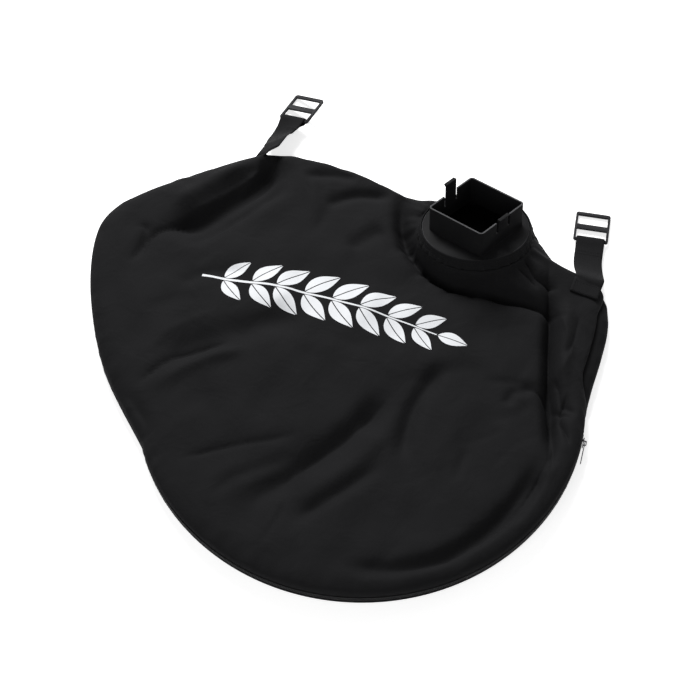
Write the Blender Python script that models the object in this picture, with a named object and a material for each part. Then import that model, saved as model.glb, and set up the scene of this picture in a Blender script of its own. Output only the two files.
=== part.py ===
"""Collection bag of a garden blower-vacuum, lying flat: a sewn bag with a zip round its bottom, a moulded
collar in its neck and two webbing straps with ladder buckles.

Frame: metres, +Z up. The origin is the centre of the zip's arc, on the plane that the bag lies on. +X runs
across the bag towards the right strap, +Y towards the neck.
"""
import math

import bmesh
import bpy
import numpy as np
from mathutils import Matrix, Vector
from mathutils.bvhtree import BVHTree

# Clearances
GAP = 0.0003                    # between pieces that touch
LAID_GAP = 0.0006               # under webbing that lies on cloth
RUNNING_GAP = 0.0005            # between pieces that move on each other

# Cloth
CLOTH = 0.0012                  # thickness of the panels
CROWN_HEIGHT = 0.036            # height of the front panel over the plane, away from neck and edges
CROWN_RISE = 0.008              # what the middle of the bag adds to it
CROWN_MIDDLE = (-0.03, 0.03)    # where it adds most
CROWN_SPREAD = 0.20             # how far that reaches
FOLD_FADE = 0.05                # distance from the seam at which folds reach their full depth
SHOULDER = 0.034                # how far in from the seam the panel reaches its full height
SEAM_HEIGHT = 0.014             # height of the side seams and of the middle of the zip
WALL_HEIGHT = 0.005             # of the panel's upright edge over the seam or the zip's opening
ROLL = 0.017                    # how far the back panel rolls out past the seam on the right
ROLL_LIFT = 0.7                 # how much higher the seam lies for each metre of roll
BASE_RADIUS = 0.003             # rounding between the back panel's wall and its flat

# Outline of the sides and top, from the zip's right end anticlockwise to its left end
SIDE_POINTS = (
    (0.257, 0.140), (0.249, 0.190), (0.238, 0.238), (0.217, 0.277), (0.186, 0.289), (0.140, 0.293),
    (0.102, 0.317), (0.070, 0.349), (0.027, 0.361), (-0.016, 0.349), (-0.048, 0.317), (-0.090, 0.300),
    (-0.170, 0.303), (-0.240, 0.294), (-0.300, 0.271), (-0.360, 0.205), (-0.410, 0.139), (-0.433, 0.088),
    (-0.424, 0.035), (-0.378, -0.043), (-0.305, -0.125),
)
SIDE_STEPS = 51                 # stations of the outline along those points
ROLL_FROM, ROLL_TO = 0.00, 0.12  # share of the side outline along which the back panel rolls out

# Where the front panel's spokes from points of the outline meet the neck, in degrees round the collar
SPOKES = (
    ((-0.204, -0.197), 244), ((0.000, -0.283), 270), ((0.266, 0.097), 318), ((0.217, 0.277), 342),
    ((0.140, 0.293), 360), ((0.102, 0.317), 386), ((0.027, 0.361), 450), ((-0.048, 0.317), 511),
    ((-0.090, 0.300), 532), ((-0.170, 0.303), 546), ((-0.300, 0.271), 561), ((-0.433, 0.088), 580),
)
# Rows of the front panel, as shares of the way from its seam to the neck, the second straight over the first
PANEL_ROWS = (0, 0, 0.008, 0.022, 0.045, 0.085, 0.14, 0.21, 0.29, 0.38, 0.47, 0.56, 0.65, 0.74, 0.82, 0.89, 0.935,
              0.97, 1.0)

# Main folds of the front panel: the line that each follows, its half width, and its depth (below zero) or height
FOLDS = (
    (((-0.262, 0.280), (-0.276, 0.235), (-0.290, 0.190), (-0.310, 0.140), (-0.335, 0.085)), 0.026, -0.024),
    (((-0.306, 0.258), (-0.322, 0.215), (-0.338, 0.175), (-0.362, 0.130)), 0.016, 0.005),
    (((-0.092, 0.300), (-0.084, 0.276), (-0.068, 0.247), (-0.046, 0.222), (-0.025, 0.2065), (-0.007, 0.196),
      (0.014, 0.190), (0.035, 0.189), (0.056, 0.1925), (0.081, 0.197), (0.124, 0.207), (0.168, 0.214)), 0.012, -0.018),
    (((-0.104, 0.268), (-0.086, 0.238), (-0.058, 0.210), (-0.033, 0.1945), (-0.012, 0.184), (0.012, 0.1765),
      (0.036, 0.1755), (0.062, 0.180), (0.088, 0.185), (0.128, 0.194)), 0.014, 0.004),
    (((0.145, 0.240), (0.165, 0.213), (0.188, 0.160), (0.212, 0.105), (0.236, 0.056), (0.252, 0.010)), 0.014, -0.014),
    (((0.245, 0.030), (0.244, -0.030), (0.236, -0.080), (0.218, -0.130), (0.194, -0.170), (0.162, -0.202),
      (0.125, -0.222), (0.080, -0.238)), 0.013, -0.010),
    (((0.044, 0.013), (0.026, -0.055), (0.002, -0.119), (-0.028, -0.182), (-0.052, -0.225)), 0.015, -0.012),
    (((0.082, 0.081), (0.074, 0.017), (0.080, -0.029), (0.097, -0.084)), 0.011, -0.009),
    (((-0.103, 0.065), (-0.150, 0.022), (-0.182, -0.008), (-0.223, -0.050), (-0.260, -0.090)), 0.020, -0.009),
)

# Zip
ZIP_RADIUS = 0.2833             # outer face of the bag round its bottom
ZIP_FIRST = math.radians(20)    # closed end, on the right
ZIP_LAST = math.radians(-136)   # other end, on the left
ZIP_STEPS = 39
ZIP_OPENING = 0.012             # between the two folded panel edges
TAPE_WIDTH = 0.0096
TAPE = 0.0008
CHAIN_GAP = 0.0016              # between the two tapes and between the two rows of teeth
CHAIN_WIDTH = 0.0026            # each row of teeth
CHAIN = 0.0022                  # depth of the teeth
STOP_LENGTH = 0.0030
SLIDER_LENGTH = 0.012
SLIDER_WIDTH = 0.0095
SLIDER_TAIL = 0.0070            # width of the slider's narrow end
SLIDER_PLATE = 0.0012
SLIDER_POST = 0.0009            # blade between the rows of teeth
SLIDER_ANGLE = math.radians(13.2)
STOP_CLEARANCE = 0.0008         # slider to stop at each end
BAIL_LENGTH = 0.0072
BAIL_WIDTH = 0.0022
BAIL_HOLLOW = 0.0026
BAIL_WALL = 0.0011
PULL_LENGTH = 0.030
PULL_WIDTH = 0.0065
PULL = 0.0012
PULL_BAR = 0.0014               # cross bar that turns in the bail
PULL_WINDOW = 0.0032            # width of the window round the bail
PULL_WINDOW_LENGTH = 0.0045
PULL_HOLE_LENGTH = 0.0055
PULL_HOLE_WIDTH = 0.0033

# Collar
COLLAR_CENTRE = (0.0266, 0.2740, 0.0600)    # middle of the flange's top face
COLLAR_TILT = math.radians(15.0)            # lean of its axis from upright
COLLAR_LEAN = math.radians(122.8)           # direction of that lean, from +X
COLLAR_TWIST = math.radians(-15.2)          # turn of the square about its axis
COLLAR_SIDE = 0.090
COLLAR_WALL = 0.0025
COLLAR_CORNER = 0.0055
COLLAR_HEIGHT = 0.0354          # of the square tube over the flange
FLANGE_RADIUS = 0.0712
FLANGE = 0.0025
SKIRT_INSET = 0.0057            # of the skirt from the flange's edge
SKIRT_RADIUS = FLANGE_RADIUS - SKIRT_INSET
SKIRT_WALL = 0.0020
SKIRT_DEPTH = 0.0120            # from the flange's top face down
LIP_INSET = 0.0017
LIP_RADIUS = FLANGE_RADIUS - LIP_INSET
LIP = 0.0020
TONGUE_WIDTH = 0.020
TONGUE_SLOT = 0.0035
TONGUE_SLOT_DEPTH = 0.0168
LATCH_RISE = 0.0170             # of the long tongue over the rim
CATCH_RISE = 0.0030             # of the short tongue
HOOK = 0.0026                   # how far a tongue's hook stands out
HOOK_HEIGHT = 0.0045
ROUND_STEPS = 40

# Neck cuff, a sewn band round the flange, with an elastic in it
CUFF = 0.0016
CUFF_PROUD = 0.0016             # of its top edge over the flange
CUFF_DEPTH = 0.0120
CUFF_FLARE = 0.0040             # how much wider it is at its lower edge
ELASTIC = 0.0040
NECK_SPREAD = 0.075             # how far from the neck the panel starts to rise to it, on its gentle side
NECK_SPREAD_FRONT = 0.010       # and in front, where it falls into a fold
NECK_GENTLE = math.radians(40)  # direction of the gentle side from the collar
NECK_MASK = 0.006               # distance from the neck at which folds reach their full depth
NECK_CROWDING = 1.8             # how much closer together stations lie round the neck

# Straps and buckles
WEBBING_WIDTH = 0.038
WEBBING = 0.0018
SEWN_LENGTH = 0.020             # of the right strap on the panel
LOOP_JOIN = 0.014               # from the bar to where the two plies meet
LOOP_END = 0.032                # from the bar to the sewn end of the lower ply
BUCKLE_MOUTH = 0.0405           # clear width between its rails
BUCKLE_RAIL = 0.0033
BUCKLE = 0.0032                 # thickness
BUCKLE_BAR = 0.0025             # radius of the bar in the webbing loop
BUCKLE_SLOT = 0.0160            # clear length beside that bar
BUCKLE_MIDDLE = 0.0078
BUCKLE_WINDOW = 0.0168          # clear length of the far opening
BUCKLE_END = 0.0050
BUCKLE_CORNER = 0.0035
RIGHT_BUCKLE = (0.1592, 0.3650, 0.0053)     # middle of its bar
RIGHT_HEADING = math.radians(107.4)         # direction it points in
RIGHT_PITCH = math.radians(-3.6)
RIGHT_ROLL = 0.0
LEFT_BUCKLE = (-0.2985, 0.3610, 0.0104)
LEFT_HEADING = math.radians(89.0)
LEFT_PITCH = math.radians(-2.6)
LEFT_ROLL = math.radians(15.0)
RIGHT_ROOT = (0.1925, 0.2560)               # middle of the sewn end
RIGHT_EDGE = (0.1890, 0.2850)               # where the right strap leaves the panel
LEFT_ROOT = (-0.2860, 0.2900, 0.0400)
LEFT_ROOT_ROLL = math.radians(64.0)
LEFT_REACH = 0.040                          # how far its root runs back over the edge at most
AROUND = (-0.003, 0.0, 0.003)               # offsets at which the cloth under the right strap is felt for
EDGE_LIFT = 0.0015                          # of the right strap where it bends over the edge
EDGE_SHARE = 0.45                           # weight of that bend in the middle of its free run
EDGE_SAG = 0.004                            # how far that middle sags
LANDING = 0.006                             # straight run before the sewn end of a lower ply
LEFT_BACK = 0.030                           # run behind the left root that sets its direction
LEFT_GAP = 0.0009                           # between the left root and the cloth

# Finishes: colour, roughness and metallic value
FINISHES = {
    "cloth": ((0.012, 0.012, 0.013), 0.85, 0.0),
    "tape": ((0.010, 0.010, 0.011), 0.80, 0.0),
    "teeth": ((0.009, 0.009, 0.010), 0.45, 0.0),
    "metal": ((0.060, 0.060, 0.062), 0.38, 0.9),
    "moulding": ((0.007, 0.007, 0.008), 0.35, 0.0),
    "buckle": ((0.045, 0.045, 0.047), 0.45, 0.0),
    "webbing": ((0.018, 0.018, 0.019), 0.80, 0.0),
    "elastic": ((0.020, 0.020, 0.022), 0.70, 0.0),
}


def clear_scene():
    for item in list(bpy.data.objects):
        bpy.data.objects.remove(item, do_unlink=True)


def finish(obj, kind):
    colour, roughness, metallic = FINISHES[kind]
    material = bpy.data.materials.new(obj.name)
    material.use_nodes = True
    shader = material.node_tree.nodes["Principled BSDF"]
    shader.inputs["Base Color"].default_value = (*colour, 1.0)
    shader.inputs["Roughness"].default_value = roughness
    shader.inputs["Metallic"].default_value = metallic
    obj.data.materials.append(material)


def add_body(name, vertices, faces, kind, place=None):
    """One closed body from vertices and faces, in world space or in the frame that place gives."""
    mesh = bpy.data.meshes.new(name)
    mesh.from_pydata([tuple(map(float, v)) for v in vertices], [], [tuple(f) for f in faces])
    shape = bmesh.new()
    shape.from_mesh(mesh)
    bmesh.ops.recalc_face_normals(shape, faces=shape.faces)
    shape.to_mesh(mesh)
    shape.free()
    mesh.shade_smooth()
    mesh.set_sharp_from_angle(angle=math.radians(35))
    obj = bpy.data.objects.new(name, mesh)
    bpy.context.scene.collection.objects.link(obj)
    if place is not None:
        obj.matrix_world = place
    if kind:
        finish(obj, kind)
    return obj


def add_boolean(obj, tool, operation):
    """Joins a hidden tool body to a piece, or cuts it away."""
    tool.hide_render = True
    tool.display_type = "WIRE"
    step = obj.modifiers.new(tool.name, "BOOLEAN")
    step.operation = operation
    step.solver = "EXACT"
    step.object = tool


def skin(outer, inner, cap=False):
    """Vertices and faces of a closed body between two grids of rows that each run once round the piece."""
    rows, cols = outer.shape[:2]
    vertices = np.concatenate([outer.reshape(-1, 3), inner.reshape(-1, 3)])

    def corner(layer, row, col):
        return layer * rows * cols + row * cols + col % cols

    faces = []
    for k, r, c in ((k, r, c) for k in (0, 1) for r in range(rows - 1) for c in range(cols)):
        faces.append((corner(k, r, c), corner(k, r, c + 1), corner(k, r + 1, c + 1)))
        faces.append((corner(k, r, c), corner(k, r + 1, c + 1), corner(k, r + 1, c)))
    for row in (0,) if cap else (0, rows - 1):
        faces += [(corner(0, row, c), corner(0, row, c + 1), corner(1, row, c + 1), corner(1, row, c))
                  for c in range(cols)]
    if cap:
        faces += [[corner(k, rows - 1, c) for c in range(cols)] for k in (0, 1)]
    return vertices, faces


def swept(sections, strips=False):
    """Vertices and faces of a bar through a list of matching closed sections, its ends flat or in strips."""
    sections = np.asarray(sections)
    count, sides = sections.shape[:2]
    faces = [(i * sides + k, i * sides + (k + 1) % sides,
              (i + 1) * sides + (k + 1) % sides, (i + 1) * sides + k)
             for i in range(count - 1) for k in range(sides)]
    for first in (0, (count - 1) * sides):
        if strips:
            last = first + sides - 1
            faces += [(first + k, first + k + 1, last - k - 1, last - k) for k in range(sides // 2 - 1)]
        else:
            faces.append(list(range(first, first + sides)))
    return sections.reshape(-1, 3), faces


def turned(profile, steps):
    """Vertices and faces of a closed ring: a closed (radius, height) profile turned about +Z."""
    angles = np.arange(steps) * 2 * math.pi / steps
    rings = np.array([[(r * math.cos(a), r * math.sin(a), z) for r, z in profile] for a in angles])
    sides = len(profile)
    faces = [(i * sides + k, i * sides + (k + 1) % sides,
              (i + 1) % steps * sides + (k + 1) % sides, (i + 1) % steps * sides + k)
             for i in range(steps) for k in range(sides)]
    return rings.reshape(-1, 3), faces


def block(low, high):
    """Vertices and faces of a box between two corners."""
    grid = [(x, y, z) for x in (low[0], high[0]) for y in (low[1], high[1]) for z in (low[2], high[2])]
    return grid, [(0, 1, 3, 2), (4, 6, 7, 5), (0, 4, 5, 1), (2, 3, 7, 6), (0, 2, 6, 4), (1, 5, 7, 3)]


def prism(outline, low, high):
    """Vertices and faces of a flat outline carried from one height to another."""
    return swept([[(x, y, z) for x, y in outline] for z in (low, high)])


def rounded_rectangle(length, width, radius, steps=4):
    """Outline of a rectangle round the origin with round corners."""
    points = []
    for quarter in range(4):
        cx = (length / 2 - radius) * (1 if quarter in (0, 3) else -1)
        cy = (width / 2 - radius) * (1 if quarter in (0, 1) else -1)
        for i in range(steps + 1):
            a = (quarter + i / steps) * math.pi / 2
            points.append((cx + radius * math.cos(a), cy + radius * math.sin(a)))
    return points


def smooth(value):
    """Rises smoothly from 0 to 1 as the value goes from 0 to 1."""
    t = np.clip(value, 0.0, 1.0)
    return t * t * (3 - 2 * t)


def curve_through(points, steps, before, after, crowd=None):
    """Points on the smooth curve through the given ones, its ends left out: evenly spaced, or closer by crowd."""
    line = np.array([before, *points, after], dtype=float)
    dense = []
    for i in range(1, len(line) - 2):
        p0, p1, p2, p3 = line[i - 1:i + 3]
        t = np.linspace(0, 1, 24, endpoint=False)[:, None]
        dense.append(0.5 * (2 * p1 + (p2 - p0) * t + (2 * p0 - 5 * p1 + 4 * p2 - p3) * t ** 2
                            + (3 * p1 - p0 - 3 * p2 + p3) * t ** 3))
    dense = np.concatenate([*dense, line[-2:-1]])
    pieces = np.linalg.norm(np.diff(dense, axis=0), axis=1)
    if crowd is not None:
        pieces = pieces * crowd((dense[1:] + dense[:-1]) / 2)
    run = np.concatenate([[0], np.cumsum(pieces)])
    at = np.linspace(0, run[-1], steps + 2)[1:-1]
    return np.column_stack([np.interp(at, run, dense[:, k]) for k in range(dense.shape[1])])


def on_arc(angle, radius, height=None):
    """A point of the zip's arc."""
    point = (radius * math.cos(angle), radius * math.sin(angle))
    return point if height is None else (*point, height)


def zip_angles():
    return np.linspace(ZIP_LAST, ZIP_FIRST, ZIP_STEPS + 1)


def outline():
    """Plan of the bag's edge: the zip's arc from left to right, then the sides and top anticlockwise."""
    arc = np.array([on_arc(a, ZIP_RADIUS) for a in zip_angles()])
    ends = [tuple(arc[-1]), *SIDE_POINTS, tuple(arc[0])]
    sides = curve_through(ends, SIDE_STEPS, tuple(arc[-2]), tuple(arc[1]), neck_crowding)
    return np.concatenate([arc, sides])


def neck_crowding(points):
    """Stations lie closer together round the neck."""
    off = np.linalg.norm(points - np.array(COLLAR_CENTRE[:2]), axis=1)
    return 1 + NECK_CROWDING * smooth(2 - 1.1 * off / FLANGE_RADIUS)


def inward(edge):
    """Unit directions into the bag, square to its edge."""
    along = np.roll(edge, -1, axis=0) - np.roll(edge, 1, axis=0)
    across = np.column_stack([-along[:, 1], along[:, 0]])
    return across / np.linalg.norm(across, axis=1, keepdims=True)


def roll_out():
    """How far the seam lies inside the outline at each station."""
    share = np.zeros(ZIP_STEPS + 1 + SIDE_STEPS)
    side = np.linspace(0, 1, SIDE_STEPS)
    middle = (side - ROLL_FROM) / (ROLL_TO - ROLL_FROM)
    share[ZIP_STEPS + 1:] = smooth(3.5 * middle) * smooth(3.5 * (1 - middle))
    return ROLL * share


def half_opening():
    """Half the distance between the two panel edges at each station: wide along the zip, closed past it."""
    half = np.full(ZIP_STEPS + 1 + SIDE_STEPS, GAP)
    half[1:ZIP_STEPS] = ZIP_OPENING / 2
    return half


def seam_line():
    """The line where front and back panel meet."""
    edge = outline()
    rolled = roll_out()
    plan = edge + inward(edge) * rolled[:, None]
    return np.column_stack([plan, SEAM_HEIGHT + ROLL_LIFT * rolled])


def collar_frame():
    """Placement of the collar: its axis is the frame's +Z, its square's sides lie along X and Y."""
    lean = Vector((math.cos(COLLAR_LEAN), math.sin(COLLAR_LEAN), 0.0))
    axis = (Vector((0, 0, 1)) * math.cos(COLLAR_TILT) + lean * math.sin(COLLAR_TILT)).normalized()
    side = Vector((math.cos(COLLAR_TWIST), math.sin(COLLAR_TWIST), 0.0))
    side = (side - axis * side.dot(axis)).normalized()
    turn = Matrix((side, axis.cross(side), axis)).transposed()
    return Matrix.Translation(COLLAR_CENTRE) @ turn.to_4x4()


def spoke_angles(edge):
    """Direction from the collar's middle at which each station of the outline meets the neck."""
    run = np.concatenate([[0], np.cumsum(np.linalg.norm(np.diff(edge, axis=0), axis=1))])
    at = [run[np.argmin(np.linalg.norm(edge - np.array(point), axis=1))] for point, _ in SPOKES]
    length = run[-1] + np.linalg.norm(edge[-1] - edge[0])
    turns = np.radians([angle for _, angle in SPOKES])
    return np.interp(run, [*at, at[0] + length], [*turns, turns[0] + 2 * math.pi])


NECK_RADIUS = FLANGE_RADIUS + GAP + CUFF + CUFF_FLARE - CLOTH / 2     # of the hole in the front panel
NECK_DROP = CUFF_DEPTH + LAID_GAP                                     # from the flange's top face down to it


def neck_ring():
    """Edge of the front panel's hole, just below the cuff, one point for each station of the outline."""
    place = collar_frame()
    back = place.to_3x3().inverted()
    ring = []
    for angle in spoke_angles(outline()):
        local = back @ Vector((math.cos(angle), math.sin(angle), 0.0))
        local.z = 0.0
        local.normalize()
        ring.append(place @ (local * NECK_RADIUS + Vector((0, 0, -NECK_DROP))))
    return np.array([tuple(p) for p in ring])


def spoke_grid(seam, ring, shares):
    """Plan grid on straight spokes from seam to neck, with a row at each share of their length."""
    t = np.array(shares)[:, None, None]
    return seam[None, :, :2] * (1 - t) + ring[None, :, :2] * t


def neck_rise(x, y):
    """Distance in plan from the neck, how far the panel has risen to it, and the height of its edge there."""
    place = collar_frame()
    axis = place.to_3x3() @ Vector((0, 0, 1))
    foot = place @ Vector((0, 0, -NECK_DROP))
    dx, dy = x - foot.x, y - foot.y
    off = np.hypot(dx, dy)
    gentle = smooth(0.5 + 0.8 * np.cos(np.arctan2(dy, dx) - NECK_GENTLE))
    spread = NECK_SPREAD_FRONT + (NECK_SPREAD - NECK_SPREAD_FRONT) * gentle
    away = np.maximum(off - NECK_RADIUS, 0.0)
    share = NECK_RADIUS / np.maximum(off, NECK_RADIUS)
    edge = foot.z - (dx * axis.x + dy * axis.y) * share / axis.z
    return away, (1 - np.clip(away / spread, 0, 1)) ** 2, edge


def fold(x, y, points, half_width, height):
    """One fold: height * exp(-(off/half_width)^2) round a smooth line, tapering to nothing at both its ends."""
    line = np.array([points[0], *curve_through(points, 5 * len(points), points[0], points[-1]), points[-1]])
    nearest = np.full(x.shape, np.inf)
    share = np.zeros(x.shape)
    for i, (a, b) in enumerate(zip(line, line[1:])):
        d = b - a
        t = np.clip(((x - a[0]) * d[0] + (y - a[1]) * d[1]) / (d @ d), 0, 1)
        off = np.hypot(x - a[0] - t * d[0], y - a[1] - t * d[1])
        closer = off < nearest
        nearest = np.where(closer, off, nearest)
        share = np.where(closer, (i + t) / (len(line) - 1), share)
    taper = smooth(4 * share) * smooth(4 * (1 - share))
    return height * np.exp(-(nearest / half_width) ** 2) * taper


def front_surface():
    """Outer face of the front panel: rows from the seam up over the shoulder to the neck."""
    seam = seam_line()
    ring = neck_ring()
    half = half_opening()
    first = seam.copy()
    first[:, :2] += inward(outline()) * np.where(half > GAP, 0.0, GAP)[:, None]
    first[:, 2] += half
    plan = spoke_grid(first, ring, PANEL_ROWS)
    from_seam = np.linalg.norm(plan - first[None, :, :2], axis=2)
    x, y = plan[..., 0], plan[..., 1]
    from_neck, near, neck = neck_rise(x, y)
    from_middle = np.hypot(x - CROWN_MIDDLE[0], y - CROWN_MIDDLE[1])
    crown = CROWN_HEIGHT + CROWN_RISE * np.exp(-(from_middle / CROWN_SPREAD) ** 2)
    relief = sum(fold(x, y, *stroke) for stroke in FOLDS)
    crown = crown * (1 - near) + neck * near + relief * smooth(from_seam / FOLD_FADE) * smooth(from_neck / NECK_MASK)
    ease = np.clip(from_seam / SHOULDER, 0, 1)
    rise = np.sqrt(1 - (1 - ease) ** 2)
    foot = first[None, :, 2] + WALL_HEIGHT
    height = foot + (crown - foot) * rise
    height[0] = first[:, 2]
    height[-1] = ring[:, 2]
    return np.dstack([plan, height])


def facing(grid, outward):
    """Unit normals of a grid that runs round the bag, turned to the given rough direction."""
    along = np.roll(grid, -1, axis=1) - np.roll(grid, 1, axis=1)
    across = np.empty_like(grid)
    across[1:-1] = grid[2:] - grid[:-2]
    across[0] = grid[1] - grid[0]
    across[-1] = grid[-1] - grid[-2]
    normal = np.cross(along, across)
    normal /= np.linalg.norm(normal, axis=2, keepdims=True)
    sign = np.sign(np.sum(normal * outward, axis=2, keepdims=True))
    return normal * np.where(sign == 0, 1, sign)


def make_front_panel():
    outer = front_surface()
    side = -inward(outline())
    up = np.zeros_like(outer)
    up[..., :2] = side[None] * 0.5
    up[..., 2] = 1.0
    normal = facing(outer, up)
    normal[0] = np.column_stack([side, np.zeros(len(side))])
    vertices, faces = skin(outer, outer - normal * CLOTH)
    return add_body("front_panel", vertices, faces, "cloth")


def make_back_panel():
    """Flat that the bag lies on, with a low wall up to the seam; on the right the wall rolls out past it."""
    edge = outline()
    into = inward(edge)
    seam = seam_line()
    rolled = roll_out()
    top = seam[:, 2] - half_opening()
    middle = BASE_RADIUS + 0.35 * (top - BASE_RADIUS)
    rows = []
    for turn in (0.0, 0.55, 1.0):
        inset = rolled * (1 - math.sin(turn * math.pi / 2))
        height = middle + (top - middle) * math.cos(turn * math.pi / 2)
        rows.append(np.column_stack([edge + into * inset[:, None], height]))
    for turn in (0.0, 0.5, 1.0):
        inset = BASE_RADIUS * (1 - math.cos(turn * math.pi / 2))
        height = BASE_RADIUS * (1 - math.sin(turn * math.pi / 2))
        rows.append(np.column_stack([edge + into * inset, np.full(len(edge), height)]))
    rows[-1][:, 2] = 0.0
    outer = np.array(rows)
    down = np.zeros_like(outer)
    down[..., :2] = -into[None]
    down[-1, :, 2] = -1.0
    normal = facing(outer, down)
    normal[-1] = (0, 0, -1)
    vertices, faces = skin(outer, outer - normal * CLOTH, cap=True)
    return add_body("back_panel", vertices, faces, "cloth")


def arc_band(name, inner, thick, low, high, first, last, kind):
    """A band along the zip's arc, with the same stations as the panels."""
    inside = [a for a in zip_angles() if first + 1e-6 < a < last - 1e-6]
    sections = [[on_arc(a, inner, low), on_arc(a, inner + thick, low),
                 on_arc(a, inner + thick, high), on_arc(a, inner, high)] for a in [first, *inside, last]]
    return add_body(name, *swept(sections), kind)


TAPE_RADIUS = ZIP_RADIUS - CLOTH - GAP - TAPE       # inner face of the tapes
CHAIN_RADIUS = TAPE_RADIUS + TAPE + GAP             # inner face of the teeth
SLIDER_HALF_TURN = SLIDER_LENGTH / 2 / ZIP_RADIUS
TOP_STOP = SLIDER_ANGLE + SLIDER_HALF_TURN + STOP_CLEARANCE / ZIP_RADIUS
BOTTOM_STOP = zip_angles()[1] + (STOP_LENGTH + GAP) / ZIP_RADIUS


def make_zip():
    """Two tapes, two rows of teeth and their stops."""
    half = CHAIN_GAP / 2
    stop_turn = STOP_LENGTH / ZIP_RADIUS
    gap_turn = GAP / ZIP_RADIUS
    teeth = (BOTTOM_STOP + gap_turn, TOP_STOP - gap_turn)
    ends = zip_angles()[[1, -2]]
    for name, sign in (("front", 1), ("back", -1)):
        low, high = sorted((SEAM_HEIGHT + sign * half, SEAM_HEIGHT + sign * (half + TAPE_WIDTH)))
        arc_band("zip_tape_" + name, TAPE_RADIUS, TAPE, low, high, *ends, "tape")
        low, high = sorted((SEAM_HEIGHT + sign * half, SEAM_HEIGHT + sign * (half + CHAIN_WIDTH)))
        arc_band("zip_teeth_" + name, CHAIN_RADIUS, CHAIN, low, high, *teeth, "teeth")
        arc_band("zip_top_stop_" + name, CHAIN_RADIUS, CHAIN, low, high, TOP_STOP, TOP_STOP + stop_turn, "metal")
    reach = half + CHAIN_WIDTH
    arc_band("zip_bottom_stop", CHAIN_RADIUS, CHAIN, SEAM_HEIGHT - reach, SEAM_HEIGHT + reach,
             BOTTOM_STOP - stop_turn, BOTTOM_STOP, "metal")


def slider_frame():
    """Placement of slider work: origin on the zip's axis, +X out through the slider, +Y to the closed end."""
    return Matrix.Rotation(SLIDER_ANGLE, 4, "Z")


def slider_plate(inner):
    """Shield outline of a slider plate in the plane of the zip, carried through its thickness."""
    nose, tail = SLIDER_LENGTH / 2, -SLIDER_LENGTH / 2
    wide, slim, cut = SLIDER_WIDTH / 2, SLIDER_TAIL / 2, 0.0018
    outline_yz = [(tail, -slim), (0.0, -slim), (nose - 2 * cut, -wide), (nose - cut / 2, -wide), (nose, -wide + cut),
                  (nose, wide - cut), (nose - cut / 2, wide), (nose - 2 * cut, wide), (0.0, slim), (tail, slim)]
    return swept([[(x, y, SEAM_HEIGHT + z) for y, z in outline_yz] for x in (inner, inner + SLIDER_PLATE)])


def bail_frame_points():
    """Radii of the slider's outer plate face, of the bail's hollow and of the pull's cross bar."""
    face = CHAIN_RADIUS + CHAIN + RUNNING_GAP + SLIDER_PLATE
    return face, face + BAIL_HOLLOW, face + BAIL_HOLLOW / 2


def make_slider():
    """Two plates joined by a thin post between the rows of teeth, and a bail on the outer plate."""
    place = slider_frame()
    face, hollow_top, _ = bail_frame_points()
    outer_plate = face - SLIDER_PLATE
    inner_plate = TAPE_RADIUS - RUNNING_GAP - SLIDER_PLATE
    slider = add_body("zip_slider", *slider_plate(outer_plate), "metal", place)
    back = add_body("slider_back_plate", *slider_plate(inner_plate), None, place)
    nose = SLIDER_LENGTH / 2
    bury = SLIDER_PLATE / 2
    post = add_body("slider_post", *block(
        (inner_plate + bury, nose - 0.0042, SEAM_HEIGHT - SLIDER_POST / 2),
        (outer_plate + bury, nose - 0.0008, SEAM_HEIGHT + SLIDER_POST / 2)), None, place)
    half = BAIL_LENGTH / 2
    arch_yx = [(-half, face - bury), (-half, hollow_top), (-half + BAIL_WALL, hollow_top + BAIL_WALL),
               (half - BAIL_WALL, hollow_top + BAIL_WALL), (half, hollow_top), (half, face - bury),
               (half - BAIL_WALL, face - bury), (half - BAIL_WALL, hollow_top - BAIL_WALL / 2),
               (half - 1.5 * BAIL_WALL, hollow_top), (-half + 1.5 * BAIL_WALL, hollow_top),
               (-half + BAIL_WALL, hollow_top - BAIL_WALL / 2), (-half + BAIL_WALL, face - bury)]
    bail = add_body("slider_bail", *swept([[(x, y, z) for y, x in arch_yx]
                                           for z in (SEAM_HEIGHT - BAIL_WIDTH / 2, SEAM_HEIGHT + BAIL_WIDTH / 2)]),
                    None, place)
    for tool in (back, post, bail):
        add_boolean(slider, tool, "UNION")


def make_pull():
    """Flat pull tab. Its round cross bar lies in the bail; at rest it points back along the closed zip."""
    pivot = bail_frame_points()[2]
    place = slider_frame() @ Matrix.Translation((pivot, 0, SEAM_HEIGHT))
    bar = PULL_BAR / 2
    window_end = bar + PULL_WINDOW_LENGTH
    half = PULL_WIDTH / 2
    tip = 0.0022
    tab_yz = [(bar, -half), (bar, half), (-PULL_LENGTH + tip, half), (-PULL_LENGTH, half - tip),
              (-PULL_LENGTH, -half + tip), (-PULL_LENGTH + tip, -half)]
    pull = add_body("zip_pull", *swept([[(x, y, z) for y, z in tab_yz] for x in (-PULL / 2, PULL / 2)]),
                    "metal", place)
    window = add_body("pull_window", *block((-PULL, -window_end, -PULL_WINDOW / 2),
                                            (PULL, PULL_BAR, PULL_WINDOW / 2)), None, place)
    hole_centre = -PULL_LENGTH + 0.0022 + PULL_HOLE_LENGTH / 2
    hole_yz = [(hole_centre + y, z) for y, z in
               rounded_rectangle(PULL_HOLE_LENGTH, PULL_HOLE_WIDTH, PULL_HOLE_WIDTH / 2 - 0.0001, 3)]
    hole = add_body("pull_hole", *swept([[(x, y, z) for y, z in hole_yz] for x in (-PULL, PULL)]), None, place)
    reach = PULL_WINDOW / 2 + 0.0006
    bar_xy = [(bar * math.cos(a), bar * math.sin(a)) for a in np.arange(8) * math.pi / 4 + math.pi / 8]
    cross = add_body("pull_bar", *prism(bar_xy, -reach, reach), None, place)
    add_boolean(pull, window, "DIFFERENCE")
    add_boolean(pull, hole, "DIFFERENCE")
    add_boolean(pull, cross, "UNION")


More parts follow.
